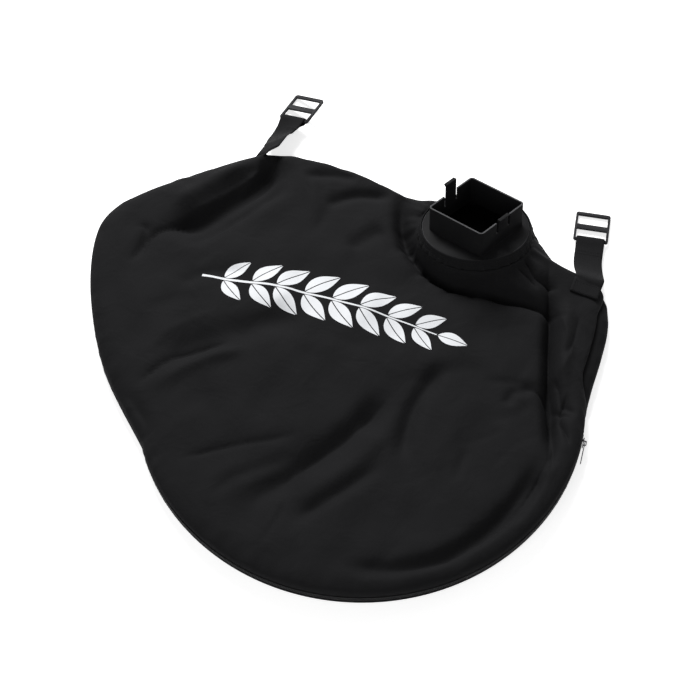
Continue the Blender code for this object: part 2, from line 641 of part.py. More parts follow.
def make_collar():
    """Square tube on a round flange, with a round grooved skirt under it and a tongue in two of its walls."""
    place = collar_frame()
    lip_top = -SKIRT_DEPTH + LIP
    under = -FLANGE
    body_profile = [(SKIRT_RADIUS - SKIRT_WALL, under), (SKIRT_RADIUS - SKIRT_WALL, -SKIRT_DEPTH),
                    (LIP_RADIUS, -SKIRT_DEPTH), (LIP_RADIUS, lip_top), (SKIRT_RADIUS, lip_top),
                    (SKIRT_RADIUS, under), (FLANGE_RADIUS, under), (FLANGE_RADIUS, -0.0006),
                    (FLANGE_RADIUS - 0.0006, 0.0), (COLLAR_SIDE / 2 - 0.004, 0.0), (COLLAR_SIDE / 2 - 0.004, under)]
    collar = add_body("collar", *turned(body_profile, ROUND_STEPS), "moulding", place)
    tube = add_body("collar_tube", *prism(rounded_rectangle(COLLAR_SIDE, COLLAR_SIDE, COLLAR_CORNER, 4),
                                          -FLANGE, COLLAR_HEIGHT), None, place)
    add_boolean(collar, tube, "UNION")
    outer = COLLAR_SIDE / 2
    for name, side, rise in (("latch", -1, LATCH_RISE), ("catch", 1, CATCH_RISE)):
        xs = sorted((side * (outer - COLLAR_WALL), side * outer))
        tongue = add_body(name + "_tongue", *block((xs[0], -TONGUE_WIDTH / 2, COLLAR_HEIGHT - 0.004),
                                                   (xs[1], TONGUE_WIDTH / 2, COLLAR_HEIGHT + rise)), None, place)
        top = COLLAR_HEIGHT + rise
        hook_xz = [(side * (outer - 0.001), top), (side * (outer + HOOK), top),
                   (side * (outer + HOOK), top - 0.0012), (side * (outer - 0.001), top - HOOK_HEIGHT)]
        hook = add_body(name + "_hook", *swept([[(x, y, z) for x, z in hook_xz]
                                                for y in (-TONGUE_WIDTH / 2, TONGUE_WIDTH / 2)]), None, place)
        add_boolean(collar, tongue, "UNION")
        add_boolean(collar, hook, "UNION")
    clear = COLLAR_SIDE - 2 * COLLAR_WALL
    bore = add_body("collar_bore", *prism(rounded_rectangle(clear, clear, COLLAR_CORNER - COLLAR_WALL, 4),
                                          -2 * SKIRT_DEPTH, 2 * COLLAR_HEIGHT), None, place)
    add_boolean(collar, bore, "DIFFERENCE")
    for name, side in (("latch", -1), ("catch", 1)):
        for part, sign in (("a", -1), ("b", 1)):
            ys = sorted((sign * TONGUE_WIDTH / 2, sign * (TONGUE_WIDTH / 2 + TONGUE_SLOT)))
            xs = sorted((side * (outer - 2 * COLLAR_WALL), side * (outer + COLLAR_WALL)))
            slot = add_body(f"{name}_slot_{part}", *block(
                (xs[0], ys[0], COLLAR_HEIGHT - TONGUE_SLOT_DEPTH),
                (xs[1], ys[1], COLLAR_HEIGHT + 0.002)), None, place)
            add_boolean(collar, slot, "DIFFERENCE")


def make_neck():
    """Sewn cuff that grips the flange's edge, and the elastic that draws it into the groove below."""
    place = collar_frame()
    inner = FLANGE_RADIUS + GAP
    cuff_profile = [(inner, 0.0), (inner + 0.3 * CUFF, CUFF_PROUD), (inner + CUFF, 0.9 * CUFF_PROUD),
                    (inner + 1.4 * CUFF, 0.0), (inner + CUFF + 0.4 * CUFF_FLARE, -0.4 * CUFF_DEPTH),
                    (inner + CUFF + CUFF_FLARE, -CUFF_DEPTH), (inner + CUFF_FLARE, -CUFF_DEPTH),
                    (inner + 0.5 * CUFF_FLARE, -0.5 * CUFF_DEPTH), (inner, -FLANGE)]
    add_body("neck_cuff", *turned(cuff_profile, ROUND_STEPS), "cloth", place)
    radius = ELASTIC / 2
    centre = SKIRT_RADIUS + GAP + radius
    height = -FLANGE - GAP - radius
    ring = [(centre + radius * math.cos(a), height + radius * math.sin(a)) for a in np.arange(6) * math.pi / 3]
    add_body("neck_elastic", *turned(ring, ROUND_STEPS), "elastic", place)


def buckle_axes(heading, pitch, roll):
    """Directions of a buckle: away from its bar, across it to the right, and up out of its face."""
    level = np.array([math.cos(heading), math.sin(heading), 0.0])
    right = np.array([math.sin(heading), -math.cos(heading), 0.0])
    ahead = level * math.cos(pitch) + np.array([0, 0, math.sin(pitch)])
    up = np.cross(right, ahead)
    across = right * math.cos(roll) + up * math.sin(roll)
    return ahead, across, np.cross(across, ahead)


def make_buckle(name, middle, heading, pitch, roll):
    """Ladder buckle: a flat frame with a round bar at its near end, a wide middle bar and two openings."""
    ahead, across, up = buckle_axes(heading, pitch, roll)
    turn = Matrix((across, ahead, up)).transposed()
    place = Matrix.Translation(middle) @ turn.to_4x4()
    width = BUCKLE_MOUTH + 2 * BUCKLE_RAIL
    length = BUCKLE_BAR + BUCKLE_SLOT + BUCKLE_MIDDLE + BUCKLE_WINDOW + BUCKLE_END
    plan = [(x, y + (length - BUCKLE_BAR) / 2) for x, y in
            rounded_rectangle(width, length + BUCKLE_BAR, BUCKLE_CORNER, 3)]
    frame = add_body(name, *prism(plan, -BUCKLE / 2, BUCKLE / 2), "buckle", place)
    slot_end = BUCKLE_BAR + BUCKLE_SLOT
    window_start = slot_end + BUCKLE_MIDDLE
    half = BUCKLE_MOUTH / 2
    slot = add_body(name + "_slot", *block((-half, -2 * BUCKLE_BAR, -BUCKLE), (half, slot_end, BUCKLE)), None, place)
    window = add_body(name + "_window", *block((-half, window_start, -BUCKLE),
                                               (half, window_start + BUCKLE_WINDOW, BUCKLE)), None, place)
    bar_yz = [(BUCKLE_BAR * math.cos(a), BUCKLE_BAR * math.sin(a)) for a in np.arange(10) * math.pi / 5]
    reach = half + BUCKLE_RAIL / 2
    bar = add_body(name + "_bar", *swept([[(x, y, z) for y, z in bar_yz] for x in (-reach, reach)]), None, place)
    add_boolean(frame, slot, "DIFFERENCE")
    add_boolean(frame, window, "DIFFERENCE")
    add_boolean(frame, bar, "UNION")


def loop_line(middle, ahead, up):
    """Middle line of the webbing round a bar: in over its top, round it and back below to the sewn end."""
    turn_radius = BUCKLE_BAR + RUNNING_GAP + WEBBING / 2
    ply = WEBBING / 2 + GAP / 2
    flat = [(-LOOP_JOIN, ply), (-LOOP_JOIN / 2, 0.75 * turn_radius)]
    flat += [(turn_radius * math.sin(a), turn_radius * math.cos(a)) for a in np.linspace(0.1, math.pi - 0.1, 9)]
    flat += [(-LOOP_JOIN / 2, -0.75 * turn_radius), (-LOOP_JOIN, -ply), (-LOOP_END, -ply)]
    return [np.array(middle) + ahead * a + up * b for a, b in flat]


def ribbon(name, centres, sides, seat):
    """Webbing along a middle line, its width along the given sides; seat fits its root to the panel."""
    centres = np.array(centres)
    sides = np.array(sides)
    along = np.gradient(centres, axis=0)
    along /= np.linalg.norm(along, axis=1, keepdims=True)
    sides = sides - along * np.sum(sides * along, axis=1, keepdims=True)
    sides /= np.linalg.norm(sides, axis=1, keepdims=True)
    normals = np.cross(sides, along)
    shares = np.linspace(-0.5, 0.5, 7)
    lines = centres[:, None, :] + sides[:, None, :] * shares[None, :, None] * WEBBING_WIDTH
    upper, lower = seat(lines + normals[:, None, :] * WEBBING / 2, lines - normals[:, None, :] * WEBBING / 2)
    sections = np.concatenate([upper, lower[:, ::-1]], axis=1)
    return add_body(name, *swept(sections, strips=True), "webbing")


def turn_between(first, last, count):
    """Directions that turn evenly from the first to the last."""
    t = smooth(np.linspace(0, 1, count))[:, None]
    mixed = np.array(first)[None] * (1 - t) + np.array(last)[None] * t
    return mixed / np.linalg.norm(mixed, axis=1, keepdims=True)


def make_right_strap(panel):
    """Sewn flat on the front panel near its corner, down over the edge to the buckle on the floor."""
    ahead, across, up = buckle_axes(RIGHT_HEADING, RIGHT_PITCH, RIGHT_ROLL)
    loop = loop_line(RIGHT_BUCKLE, ahead, up)
    root, edge = np.array(RIGHT_ROOT), np.array(RIGHT_EDGE)
    out = (edge - root) / np.linalg.norm(edge - root)
    sewn = [root + out * s for s in np.linspace(0, SEWN_LENGTH, 5)]

    def height(point):
        rays = [(point[0] + dx, point[1] + dy) for dx in AROUND for dy in AROUND]
        hits = [panel.ray_cast(Vector((*ray, 1.0)), Vector((0, 0, -1)))[0] for ray in rays]
        return max([hit.z for hit in hits if hit], default=None)

    laid = [np.array([*p, height(p) + WEBBING / 2]) for p in sewn]
    over = np.array([*edge, laid[-1][2] + EDGE_LIFT])
    landed = loop[0] - ahead * (LOOP_END - LOOP_JOIN + LANDING)
    between = over * EDGE_SHARE + landed * (1 - EDGE_SHARE) - up * EDGE_SAG
    free = curve_through([tuple(laid[-1]), tuple(over), tuple(between), tuple(landed), tuple(loop[0])],
                         14, tuple(laid[-2]), tuple(loop[1]))
    centres = laid + list(free) + loop
    side = np.array([out[1], -out[0], 0.0])
    sides = [side] * len(laid) + list(turn_between(side, across, len(free))) + [across] * len(loop)

    def lie(upper, lower):
        for row in range(len(laid) + 3):
            for col in range(lower.shape[1]):
                floor = height(lower[row, col])
                if floor is not None and lower[row, col, 2] < floor + LAID_GAP:
                    lower[row, col, 2] = floor + LAID_GAP
                    upper[row, col] = lower[row, col] + np.array([0, 0, WEBBING])
        return upper, lower

    ribbon("strap_right", centres, sides, lie)


def make_left_strap(panel):
    """Stands almost on edge where it leaves the bag's edge, and turns flat towards its buckle."""
    ahead, across, up = buckle_axes(LEFT_HEADING, LEFT_PITCH, LEFT_ROLL)
    loop = loop_line(LEFT_BUCKLE, ahead, up)
    root = np.array(LEFT_ROOT)
    landed = loop[0] - ahead * (LOOP_END - LOOP_JOIN)
    free = curve_through([tuple(root), tuple((root + landed) / 2), tuple(landed), tuple(loop[0])],
                         14, tuple(root - ahead * LEFT_BACK), tuple(loop[1]))
    upright = np.array([math.cos(LEFT_ROOT_ROLL), 0.0, math.sin(LEFT_ROOT_ROLL)])
    centres = [root] + list(free) + loop
    sides = list(turn_between(upright, across, 1 + len(free))) + [across] * len(loop)
    back = Vector(tuple(-ahead))

    def meet(*layers):
        starts = [[Vector(tuple(point)) for point in layer[2]] for layer in layers]
        hits = [[panel.ray_cast(start, back, LEFT_REACH)[0] for start in row] for row in starts]
        runs = np.array([[(hit - start).length if hit else LEFT_REACH for hit, start in zip(*rows)]
                         for rows in zip(hits, starts)])
        nearest = runs.min(axis=0)
        padded = np.concatenate([nearest[:1], nearest, nearest[-1:]])
        reach = np.minimum(np.minimum(padded[:-2], padded[2:]), nearest)
        reach = np.where(reach < LEFT_REACH, reach, reach.min()) - LEFT_GAP
        for layer in layers:
            layer[0] = layer[2] - ahead * reach[:, None]
            layer[1] = layer[2] - ahead * reach[:, None] / 2
        return layers

    ribbon("strap_left", centres, sides, meet)


def panel_tree(panel):
    return BVHTree.FromPolygons([tuple(v.co) for v in panel.data.vertices],
                                [tuple(p.vertices) for p in panel.data.polygons])


def main():
    clear_scene()
    front = make_front_panel()
    make_back_panel()
    make_zip()
    make_slider()
    make_pull()
    make_collar()
    make_neck()
    make_buckle("buckle_right", RIGHT_BUCKLE, RIGHT_HEADING, RIGHT_PITCH, RIGHT_ROLL)
    make_buckle("buckle_left", LEFT_BUCKLE, LEFT_HEADING, LEFT_PITCH, LEFT_ROLL)
    tree = panel_tree(front)
    make_right_strap(tree)
    make_left_strap(tree)


main()
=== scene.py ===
"""Looks of a garden blower-vacuum's collection bag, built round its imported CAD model.

Metres, in the CAD's frame: +Z up, the zip's arc centred on the origin, +Y towards the neck. Cloth is worked out
as height over plan on straight spokes from the bag's edge to its neck, as in the CAD, with the folds added.
"""
import math

import bmesh
import bpy
import numpy as np
from mathutils import Matrix, Vector
from mathutils.bvhtree import BVHTree


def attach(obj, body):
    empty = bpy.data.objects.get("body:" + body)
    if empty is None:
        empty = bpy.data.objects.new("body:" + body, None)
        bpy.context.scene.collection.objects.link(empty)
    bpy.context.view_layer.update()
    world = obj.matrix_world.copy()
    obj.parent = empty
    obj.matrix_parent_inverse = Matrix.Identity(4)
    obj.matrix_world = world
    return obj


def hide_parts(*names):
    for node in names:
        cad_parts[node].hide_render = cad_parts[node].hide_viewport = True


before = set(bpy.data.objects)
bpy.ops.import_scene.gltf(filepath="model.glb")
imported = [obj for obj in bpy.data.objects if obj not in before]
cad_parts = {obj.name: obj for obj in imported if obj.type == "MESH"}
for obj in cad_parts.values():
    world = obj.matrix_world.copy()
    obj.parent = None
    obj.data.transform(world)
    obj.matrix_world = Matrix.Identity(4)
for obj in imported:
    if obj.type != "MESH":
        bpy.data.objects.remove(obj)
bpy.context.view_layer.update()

# Outline and cloth, as in the CAD
ZIP_RADIUS = 0.2833
ZIP_FIRST = math.radians(20)
ZIP_LAST = math.radians(-136)
ZIP_OPENING = 0.012
ZIP_END = math.radians(4)  # over which the opening closes at each end
SEAM_HEIGHT = 0.014
SEAM_HALF = 0.0003  # half the gap between the panels where they are sewn
WALL_HEIGHT = 0.005
SHOULDER = 0.034
CROWN_HEIGHT = 0.036
CROWN_RISE = 0.008
CROWN_MIDDLE = (-0.03, 0.03)
CROWN_SPREAD = 0.20
ROLL = 0.017
ROLL_LIFT = 0.7
ROLL_TO = 0.12
BASE_RADIUS = 0.003
HEM = ((0.0085, 0.0004), (0.004, 0.0002), (0.0006, 0.0))  # a hem's rows behind the zip: inset, and lift off its edge
LIP = ((0.0, 0.0006), (0.0, 0.0025))  # the same for the front panel's upright edge
BACK_CENTRE = (-0.06, 0.03)  # where the back panel's rows close
BACK_RISE = 0.0006  # of the slack in its flat
THREAD_PITCH = 0.0009  # of the cloth's weave as drawn
SIDE_POINTS = (
    (0.257, 0.140), (0.249, 0.190), (0.238, 0.238), (0.217, 0.277), (0.186, 0.289), (0.140, 0.293),
    (0.102, 0.317), (0.070, 0.349), (0.027, 0.361), (-0.016, 0.349), (-0.048, 0.317), (-0.090, 0.300),
    (-0.170, 0.303), (-0.240, 0.294), (-0.300, 0.271), (-0.360, 0.205), (-0.410, 0.139), (-0.433, 0.088),
    (-0.424, 0.035), (-0.378, -0.043), (-0.305, -0.125),
)
SPOKES = (
    ((-0.204, -0.197), 244), ((0.000, -0.283), 270), ((0.266, 0.097), 318), ((0.217, 0.277), 342),
    ((0.140, 0.293), 360), ((0.102, 0.317), 386), ((0.027, 0.361), 450), ((-0.048, 0.317), 511),
    ((-0.090, 0.300), 532), ((-0.170, 0.303), 546), ((-0.300, 0.271), 561), ((-0.433, 0.088), 580),
)
ARC_STEPS = 312  # stations along the zip
SIDE_STEPS = 407  # stations along the sides and top
PANEL_ROWS = 118  # from the seam to the neck

# Collar and neck, as in the CAD
COLLAR_CENTRE = (0.0266, 0.2740, 0.0600)
COLLAR_TILT = math.radians(15.0)
COLLAR_LEAN = math.radians(122.8)
COLLAR_TWIST = math.radians(-15.2)
FLANGE_RADIUS = 0.0712
CUFF_INNER = FLANGE_RADIUS + 0.0003
CUFF_DEPTH = 0.0120
CUFF_FLARE = 0.0040
CUFF = 0.0016
COLLAR_HEIGHT = 0.0354  # of the square tube over the flange
NECK_RADIUS = CUFF_INNER + CUFF + CUFF_FLARE - 0.0006
NECK_DROP = CUFF_DEPTH + 0.0006
NECK_SPREAD = 0.075  # on the neck's gentle side
NECK_SPREAD_FRONT = 0.010
NECK_GENTLE = math.radians(40)
PUCKERS = 23  # gathers round the neck
PUCKER_HEIGHT = 0.0013
PUCKER_REACH = 0.04  # over which they fade
CUFF_STEPS = 720
CUFF_WAVE = 0.0007  # of the gathers at the cuff's foot
CUFF_FLAT = 0.002  # depth down to which it has none


def millimetres(table):
    """Folds in metres, from x, y, x, y ... of each line in millimetres, its half width and its height, below 0 for
    a groove."""
    return tuple((tuple((x / 1000, y / 1000) for x, y in zip(line[::2], line[1::2])), width / 1000, height / 1000)
                 for line, width, height in table)


# The CAD's folds of the front panel, most of them drawn narrower
MAIN_FOLDS = millimetres((
    ((-262, 280, -276, 235, -290, 190, -310, 140, -335, 85), 22, -26),
    ((-306, 258, -322, 215, -338, 175, -362, 130), 12, 6),
    ((-92, 300, -84, 276, -68, 247, -46, 222, -25, 206.5, -7, 196, 14, 190, 35, 189, 56, 192.5, 81, 197, 124, 207,
      168, 214), 9, -17),
    ((-104, 268, -86, 238, -58, 210, -33, 194.5, -12, 184, 12, 176.5, 36, 175.5, 62, 180, 88, 185, 128, 194), 12, 2),
    ((145, 240, 165, 213, 188, 160, 212, 105, 236, 56, 252, 10), 9, -16),
    ((245, 30, 244, -30, 236, -80, 218, -130, 194, -170, 162, -202, 125, -222, 80, -238), 10, -11),
    ((44, 13, 26, -55, 2, -119, -28, -182, -52, -225), 15, -12),
    ((82, 81, 74, 17, 80, -29, 97, -84), 11, -9),
    ((-103, 65, -150, 22, -182, -8, -223, -50, -260, -90), 20, -9),
))
# Further round folds, and then the sharp ones
FOLDS = millimetres((
    ((-236, 240, -250, 206, -266, 168, -290, 120, -298, 75), 10, -10),
    ((-173, 225, -163, 248, -140, 268, -98, 284), 9, -8),
    ((-85, 233, -100, 204, -116, 174), 11, -5),
    ((172, 250, 188, 215, 208, 160, 232, 105), 9, 4),
    ((70, -30, 50, -95, 26, -150, 0, -205), 13, 4),
    ((78, -87, 46, -155, 16, -211), 9, -6),
    ((-262, -150, -222, -172, -200, -213), 9, -10),
    ((-82, -233, -80, -201, -60, -175, -20, -122), 10, -4),
    ((174, 52, 176, 78, 197, 92), 7, -4),
    ((-222, -133, -211, -89, -181, -50, -144, -18), 10, 6),
    ((-229, 256, -195, 279, -154, 289), 8, -5),
    ((-90, 300, -76, 262, -58, 231, -34, 209, 0, 194, 30, 188), 14, -5),
))
CREASES = millimetres((
    ((-270, 285, -287, 240, -304, 197, -325, 150, -350, 95), 8, 6),
    ((-262, 262, -275, 223, -290, 187, -310, 145, -332, 104, -345, 74), 7, -7),
    ((-318, 158, -336, 112, -356, 75, -350, 30), 5, -9),
    ((-386, 75, -370, 85, -360, 55, -357, 20), 4, -6),
    ((-12, 202, 10, 195, 40, 192, 76, 198, 123, 208, 172, 213, 200, 212), 6, -10),
    ((128, 290, 144, 252, 165, 213, 188, 160, 212, 105, 236, 56, 256, 0), 6, -12),
    ((80, 262, 110, 256, 131, 246, 165, 248), 5, -9),
    ((78, 226, 92, 238, 118, 240, 140, 232), 5, -6),
    ((-250, -140, -240, -104, -227, -72, -206, -48, -172, -16), 6, -8),
    ((-262, -150, -226, -165, -205, -181, -190, -220), 5, -9),
    ((-200, -222, -181, -206, -158, -230), 4, -6),
    ((175, 87, 200, 93, 225, 85, 258, 78), 4, -6),
    ((205, 130, 222, 112, 234, 95, 262, 85), 4, -6),
    ((252, 30, 252, -40, 242, -90, 219, -140, 190, -180, 150, -212), 5, -8),
    ((-150, -203, -110, -164, -66, -129, -28, -98), 4, -4),
    ((44, 3, 26, -60, 2, -119, -26, -177), 6, -4),
    ((234, 112, 238, 88, 242, 70, 258, 53, 271, 37), 4, -8),
    ((203, 129, 218, 94, 237, 60, 252, 27, 263, -8), 6, -9),
    ((164, 232, 194, 195, 215, 168, 213, 133, 214, 114), 6, 4),
    ((200, 227, 207, 199, 211, 170, 199, 153), 5, -4),
    ((256, -3, 257, -37, 256, -68, 250, -95), 6, -6),
))
LEAST_HEIGHT = 0.0095  # to which grooves are held, by a softened maximum
LEAST_BLEND = 0.002
# How far from the seam or the neck each reaches its full depth: folds, gathers at the root, the least height
FOLD_FADE, ROOT_FADE, LEAST_FADE, NECK_FADE = 0.04, 0.012, 0.015, 0.006
# Cloth that the left strap draws up at its root, right up to the seam
ROOT_GATHERS = millimetres((
    ((-299, 285, -291, 259, -288, 236, -291, 213, -299, 191), 8, 8),
    ((-279, 292, -275, 265, -275, 241, -279, 217, -286, 190), 8, -10),
    ((-263, 290, -254, 264, -253, 237, -259, 214), 8, 3),
))
SEED = 7
FAINT_FOLDS = 34  # scattered shallow creases
RIPPLES = 16  # overlaid waves of slack cloth
RIPPLE_SHARE = 0.0055  # height of each, as a share of its length

# Zip
TAPE_RADIUS = 0.2810  # inner face of the tapes, just behind the cloth
TAPE = 0.0008
TAPE_WIDTH = 0.0096
CHAIN_RADIUS = 0.2821
CHAIN_GAP = 0.0016
CHAIN_WIDTH = 0.0026
TOOTH_PITCH = 0.0019
CHAIN_FIRST = -2.2911  # bottom stop
CHAIN_LAST = 0.2533  # top stop

# Straps and buckles, as in the CAD
WEBBING_WIDTH = 0.038
WEBBING = 0.0018
SEWN_LENGTH = 0.020
LOOP_JOIN = 0.014
LOOP_END = 0.032
BAR_CLEAR = 0.0030
RIGHT_BUCKLE = (0.1592, 0.3650, 0.0053)
RIGHT_TURN = (107.4, -3.6, 0.0)
LEFT_BUCKLE = (-0.2985, 0.3610, 0.0104)
LEFT_TURN = (89.0, -2.6, 15.0)
RIGHT_ROOT = (0.1925, 0.2560)
RIGHT_EDGE = (0.1890, 0.2850)
LEFT_ROOT = (-0.2885, 0.2880, 0.0400)
LEFT_ROOT_ROLL = math.radians(44.0)
LEFT_REACH = 0.040
LAID_GAP = 0.0004
WEBBING_COLUMNS = 15  # across its width
FREE_STEPS = 34  # stations of its free length

# Print
TWIG_ENDS = ((-0.262, 0.050), (0.052, 0.108))
LEAF_PAIRS = 8
INK = 0.0004  # its lift off the cloth

# Camera and lamps: name, place, size and watts of each lamp
TARGET = Vector((-0.0471, 0.0588, 0.0))
AZIMUTH, ELEVATION, DISTANCE = math.radians(28), math.radians(57), 2.1
LENS, SENSOR = 83.08, 36.0
LAMPS = (("key", (-1.75, 2.15, 2.20), 1.3, 138), ("fill", (0.05, -1.6, 1.1), 1.4, 11),
         ("back", (0.9, 1.5, 1.0), 0.8, 3))
LAMP_AIM = Vector((-0.05, 0.05, 0))


def srgb(code):
    """A colour written as #rrggbb, turned to linear: c/12.92 near black, else ((c + 0.055)/1.055)^2.4."""
    values = np.array([int(code[i:i + 2], 16) for i in (1, 3, 5)]) / 255
    linear = np.where(values <= 0.04045, values / 12.92, ((values + 0.055) / 1.055) ** 2.4)
    return (*map(float, linear), 1.0)


def add_node(tree, kind, settings=None, links=None):
    """Adds a shader node, sets its properties and input values, and links sockets to its inputs."""
    node = tree.nodes.new("ShaderNode" + kind)
    for key, value in (settings or {}).items():
        if isinstance(key, int) or key in node.inputs:
            node.inputs[key].default_value = value
        else:
            setattr(node, key, value)
    for key, socket in (links or {}).items():
        tree.links.new(socket, node.inputs[key])
    return node


def new_material(name, settings):
    """An empty material with its shader: the tree, the shader and its coordinates."""
    material = bpy.data.materials.new(name)
    material.use_nodes = True
    tree = material.node_tree
    tree.nodes.clear()
    shader = add_node(tree, "BsdfPrincipled", settings)
    add_node(tree, "OutputMaterial", None, {"Surface": shader.outputs[0]})
    return material, tree, shader, add_node(tree, "TexCoord")


def wave_scale(pitch):
    """Scale of a Wave texture whose bands repeat every pitch: its phase is 20 * scale * position."""
    return math.tau / 20 / pitch


def shade_by_noise(tree, shader, vector, low, high, scale, detail=4.0):
    """Mixes two colours by smooth noise, and gives the noise for other uses."""
    noise = add_node(tree, "TexNoise", {"Scale": scale, "Detail": detail}, {"Vector": vector})
    mix = add_node(tree, "Mix", {"data_type": "RGBA"}, {"Factor": noise.outputs[0]})
    mix.inputs[6].default_value = srgb(low)
    mix.inputs[7].default_value = srgb(high)
    tree.links.new(mix.outputs[2], shader.inputs["Base Color"])
    return noise


def vary_roughness(tree, shader, noise, low, high):
    """Roughness that follows the noise, from low to high."""
    spread = add_node(tree, "MapRange", {"To Min": low, "To Max": high}, {"Value": noise.outputs[0]})
    tree.links.new(spread.outputs[0], shader.inputs["Roughness"])


def bump(tree, shader, height, distance, strength, below=None):
    """Adds a bump of the given depth in metres, over another one if there is one."""
    links = {"Height": height}
    if below is not None:
        links["Normal"] = below.outputs[0]
    node = add_node(tree, "Bump", {"Distance": distance, "Strength": strength}, links)
    tree.links.new(node.outputs[0], shader.inputs["Normal"])
    return node


def weave(tree, vector, across, along):
    """Plain weave: the product of two sets of threads, each a wave of its own pitch."""
    threads = [add_node(tree, "TexWave",
                        {"wave_type": "BANDS", "bands_direction": way, "Scale": wave_scale(pitch)}, {"Vector": vector})
               for way, pitch in (("X", across), ("Y", along))]
    return add_node(tree, "Math", {"operation": "MULTIPLY"},
                    {0: threads[0].outputs["Fac"], 1: threads[1].outputs["Fac"]}).outputs[0]


def woven_polyester():
    """Black woven polyester, coated inside: matt, with a faint sheen at grazing angles and creases pressed in.
    Its threads lie 0.4 mm apart, drawn at 0.9 mm so that they show."""
    material, tree, shader, where = new_material("woven_polyester", {"Specular IOR Level": 0.02})
    vector = where.outputs["Object"]
    noise = shade_by_noise(tree, shader, vector, "#1b1b1c", "#232324", 9.0)
    vary_roughness(tree, shader, noise, 0.62, 0.82)
    crumple = add_node(tree, "TexNoise", {"Scale": 26.0, "Detail": 5.0, "Roughness": 0.55, "Distortion": 0.6},
                       {"Vector": vector})
    creased = bump(tree, shader, crumple.outputs[0], 0.004, 0.6)
    bump(tree, shader, weave(tree, vector, THREAD_PITCH, THREAD_PITCH), 0.0002, 0.35, creased)
    return material


def one_pattern(name, settings, colours, scale, roughness=None, relief=None, threads=None, space="Object"):
    """A material whose colour follows one noise. Its roughness may follow it too, and its bump that or a weave."""
    material, tree, shader, where = new_material(name, settings)
    vector = where.outputs[space]
    noise = shade_by_noise(tree, shader, vector, *colours, scale)
    if roughness:
        vary_roughness(tree, shader, noise, *roughness)
    if relief:
        bump(tree, shader, weave(tree, vector, *threads) if threads else noise.outputs[0], *relief)
    return material


def woven_webbing():
    """Polypropylene webbing, woven flat: ribs along its length 2.4 mm apart, crossed by the weft every 1.2 mm."""
    return one_pattern("woven_webbing", {"Specular IOR Level": 0.02}, ("#1c1c1d", "#242425"), 60.0, (0.6, 0.8),
                       (0.0004, 0.6), (0.0012, 0.0024), "UV")


def woven_tape():
    """Polyester zip tape, woven fine and dense: threads 0.3 mm apart, drawn at 0.8 mm so that they show."""
    return one_pattern("woven_tape", {"Specular IOR Level": 0.2, "Roughness": 0.8}, ("#0d0d0e", "#141415"), 120.0,
                       None, (0.0002, 0.5), (0.0008, 0.0008), "UV")


def sewing_thread():
    """Twisted polyester thread: slightly shiny plies that wind round every 0.5 mm."""
    return one_pattern("sewing_thread", {"Roughness": 0.6, "Specular IOR Level": 0.05}, ("#1a1a1b", "#242425"), 300.0,
                       None, (0.0001, 0.5))


def moulded_plastic(name, low, high, roughness, gloss, grain, depth):
    """Injection-moulded plastic: satin from a lightly sparked mould, its grain given in metres."""
    material, tree, shader, where = new_material(name, {"IOR": 1.5, "Specular IOR Level": gloss})
    vector = where.outputs["Object"]
    noise = shade_by_noise(tree, shader, vector, low, high, 40.0)
    vary_roughness(tree, shader, noise, roughness, roughness + 0.12)
    fine = add_node(tree, "TexNoise", {"Scale": 1 / grain, "Detail": 3.0}, {"Vector": vector})
    bump(tree, shader, fine.outputs[0], depth, 0.3)
    return material


def abs_painted_highlight():
    """The same plastic in a paler grey: a painted highlight for the light that catches the tube's rim and the flange's
    chamfer.
    """
    # greys #39393b to #58585a: painted highlight on the rim and the chamfer
    return one_pattern("abs_painted_highlight", {"IOR": 1.5, "Specular IOR Level": 0.05}, ("#39393b", "#58585a"), 260.0,
                       (0.45, 0.6))


def lacquered_zinc():
    """Die-cast zinc under black lacquer, rubbed bright in places where fingers hold it."""
    return one_pattern("lacquered_zinc", {"Metallic": 0.85}, ("#2e2e30", "#6c6c6e"), 350.0, (0.28, 0.5), (0.0001, 0.3))


def nylon_coil():
    """Extruded nylon monofilament, wound into a coil: smooth with soft highlights."""
    return one_pattern("nylon_coil", {"IOR": 1.53, "Specular IOR Level": 0.15}, ("#161617", "#262628"), 500.0,
                       (0.3, 0.45))


def braided_elastic():
    """Rubber core in a braided cover, 1 mm between its strands."""
    return one_pattern("braided_elastic", {"Roughness": 0.75}, ("#161617", "#222224"), 200.0, None, (0.0004, 0.5))


def screen_ink():
    """White plastisol ink, screen printed: an opaque film that still shows the cloth's threads."""
    return one_pattern("screen_ink", {"Roughness": 0.55, "Specular IOR Level": 0.3}, ("#dfe1e5", "#eceef1"), 30.0,
                       None, (0.0002, 0.3), (THREAD_PITCH, THREAD_PITCH))


def smooth(value):
    """Rises smoothly from 0 to 1 as the value goes from 0 to 1: 3t^2 - 2t^3."""
    t = np.clip(value, 0.0, 1.0)
    return t * t * (3 - 2 * t)


def unit(vectors):
    """Rows of vectors, each divided by its length."""
    return vectors / np.linalg.norm(vectors, axis=1, keepdims=True)


def run_along(points):
    """Distance along a line of points, from its first one."""
    return np.concatenate([[0], np.cumsum(np.linalg.norm(np.diff(points, axis=0), axis=1))])


def add_object(name, data):
    """A new object in the scene's own collection."""
    made = bpy.data.objects.new(name, data)
    bpy.context.scene.collection.objects.link(made)
    return made


def grid_faces(rows, cols, loop):
    """Four corners for each cell of a grid, whose columns may close into a loop."""
    row, col = np.meshgrid(np.arange(rows - 1), np.arange(cols if loop else cols - 1), indexing="ij")
    here = row * cols + col
    right = row * cols + (col + 1) % cols
    return np.stack([here, right, right + cols, here + cols], axis=-1).reshape(-1, 4)


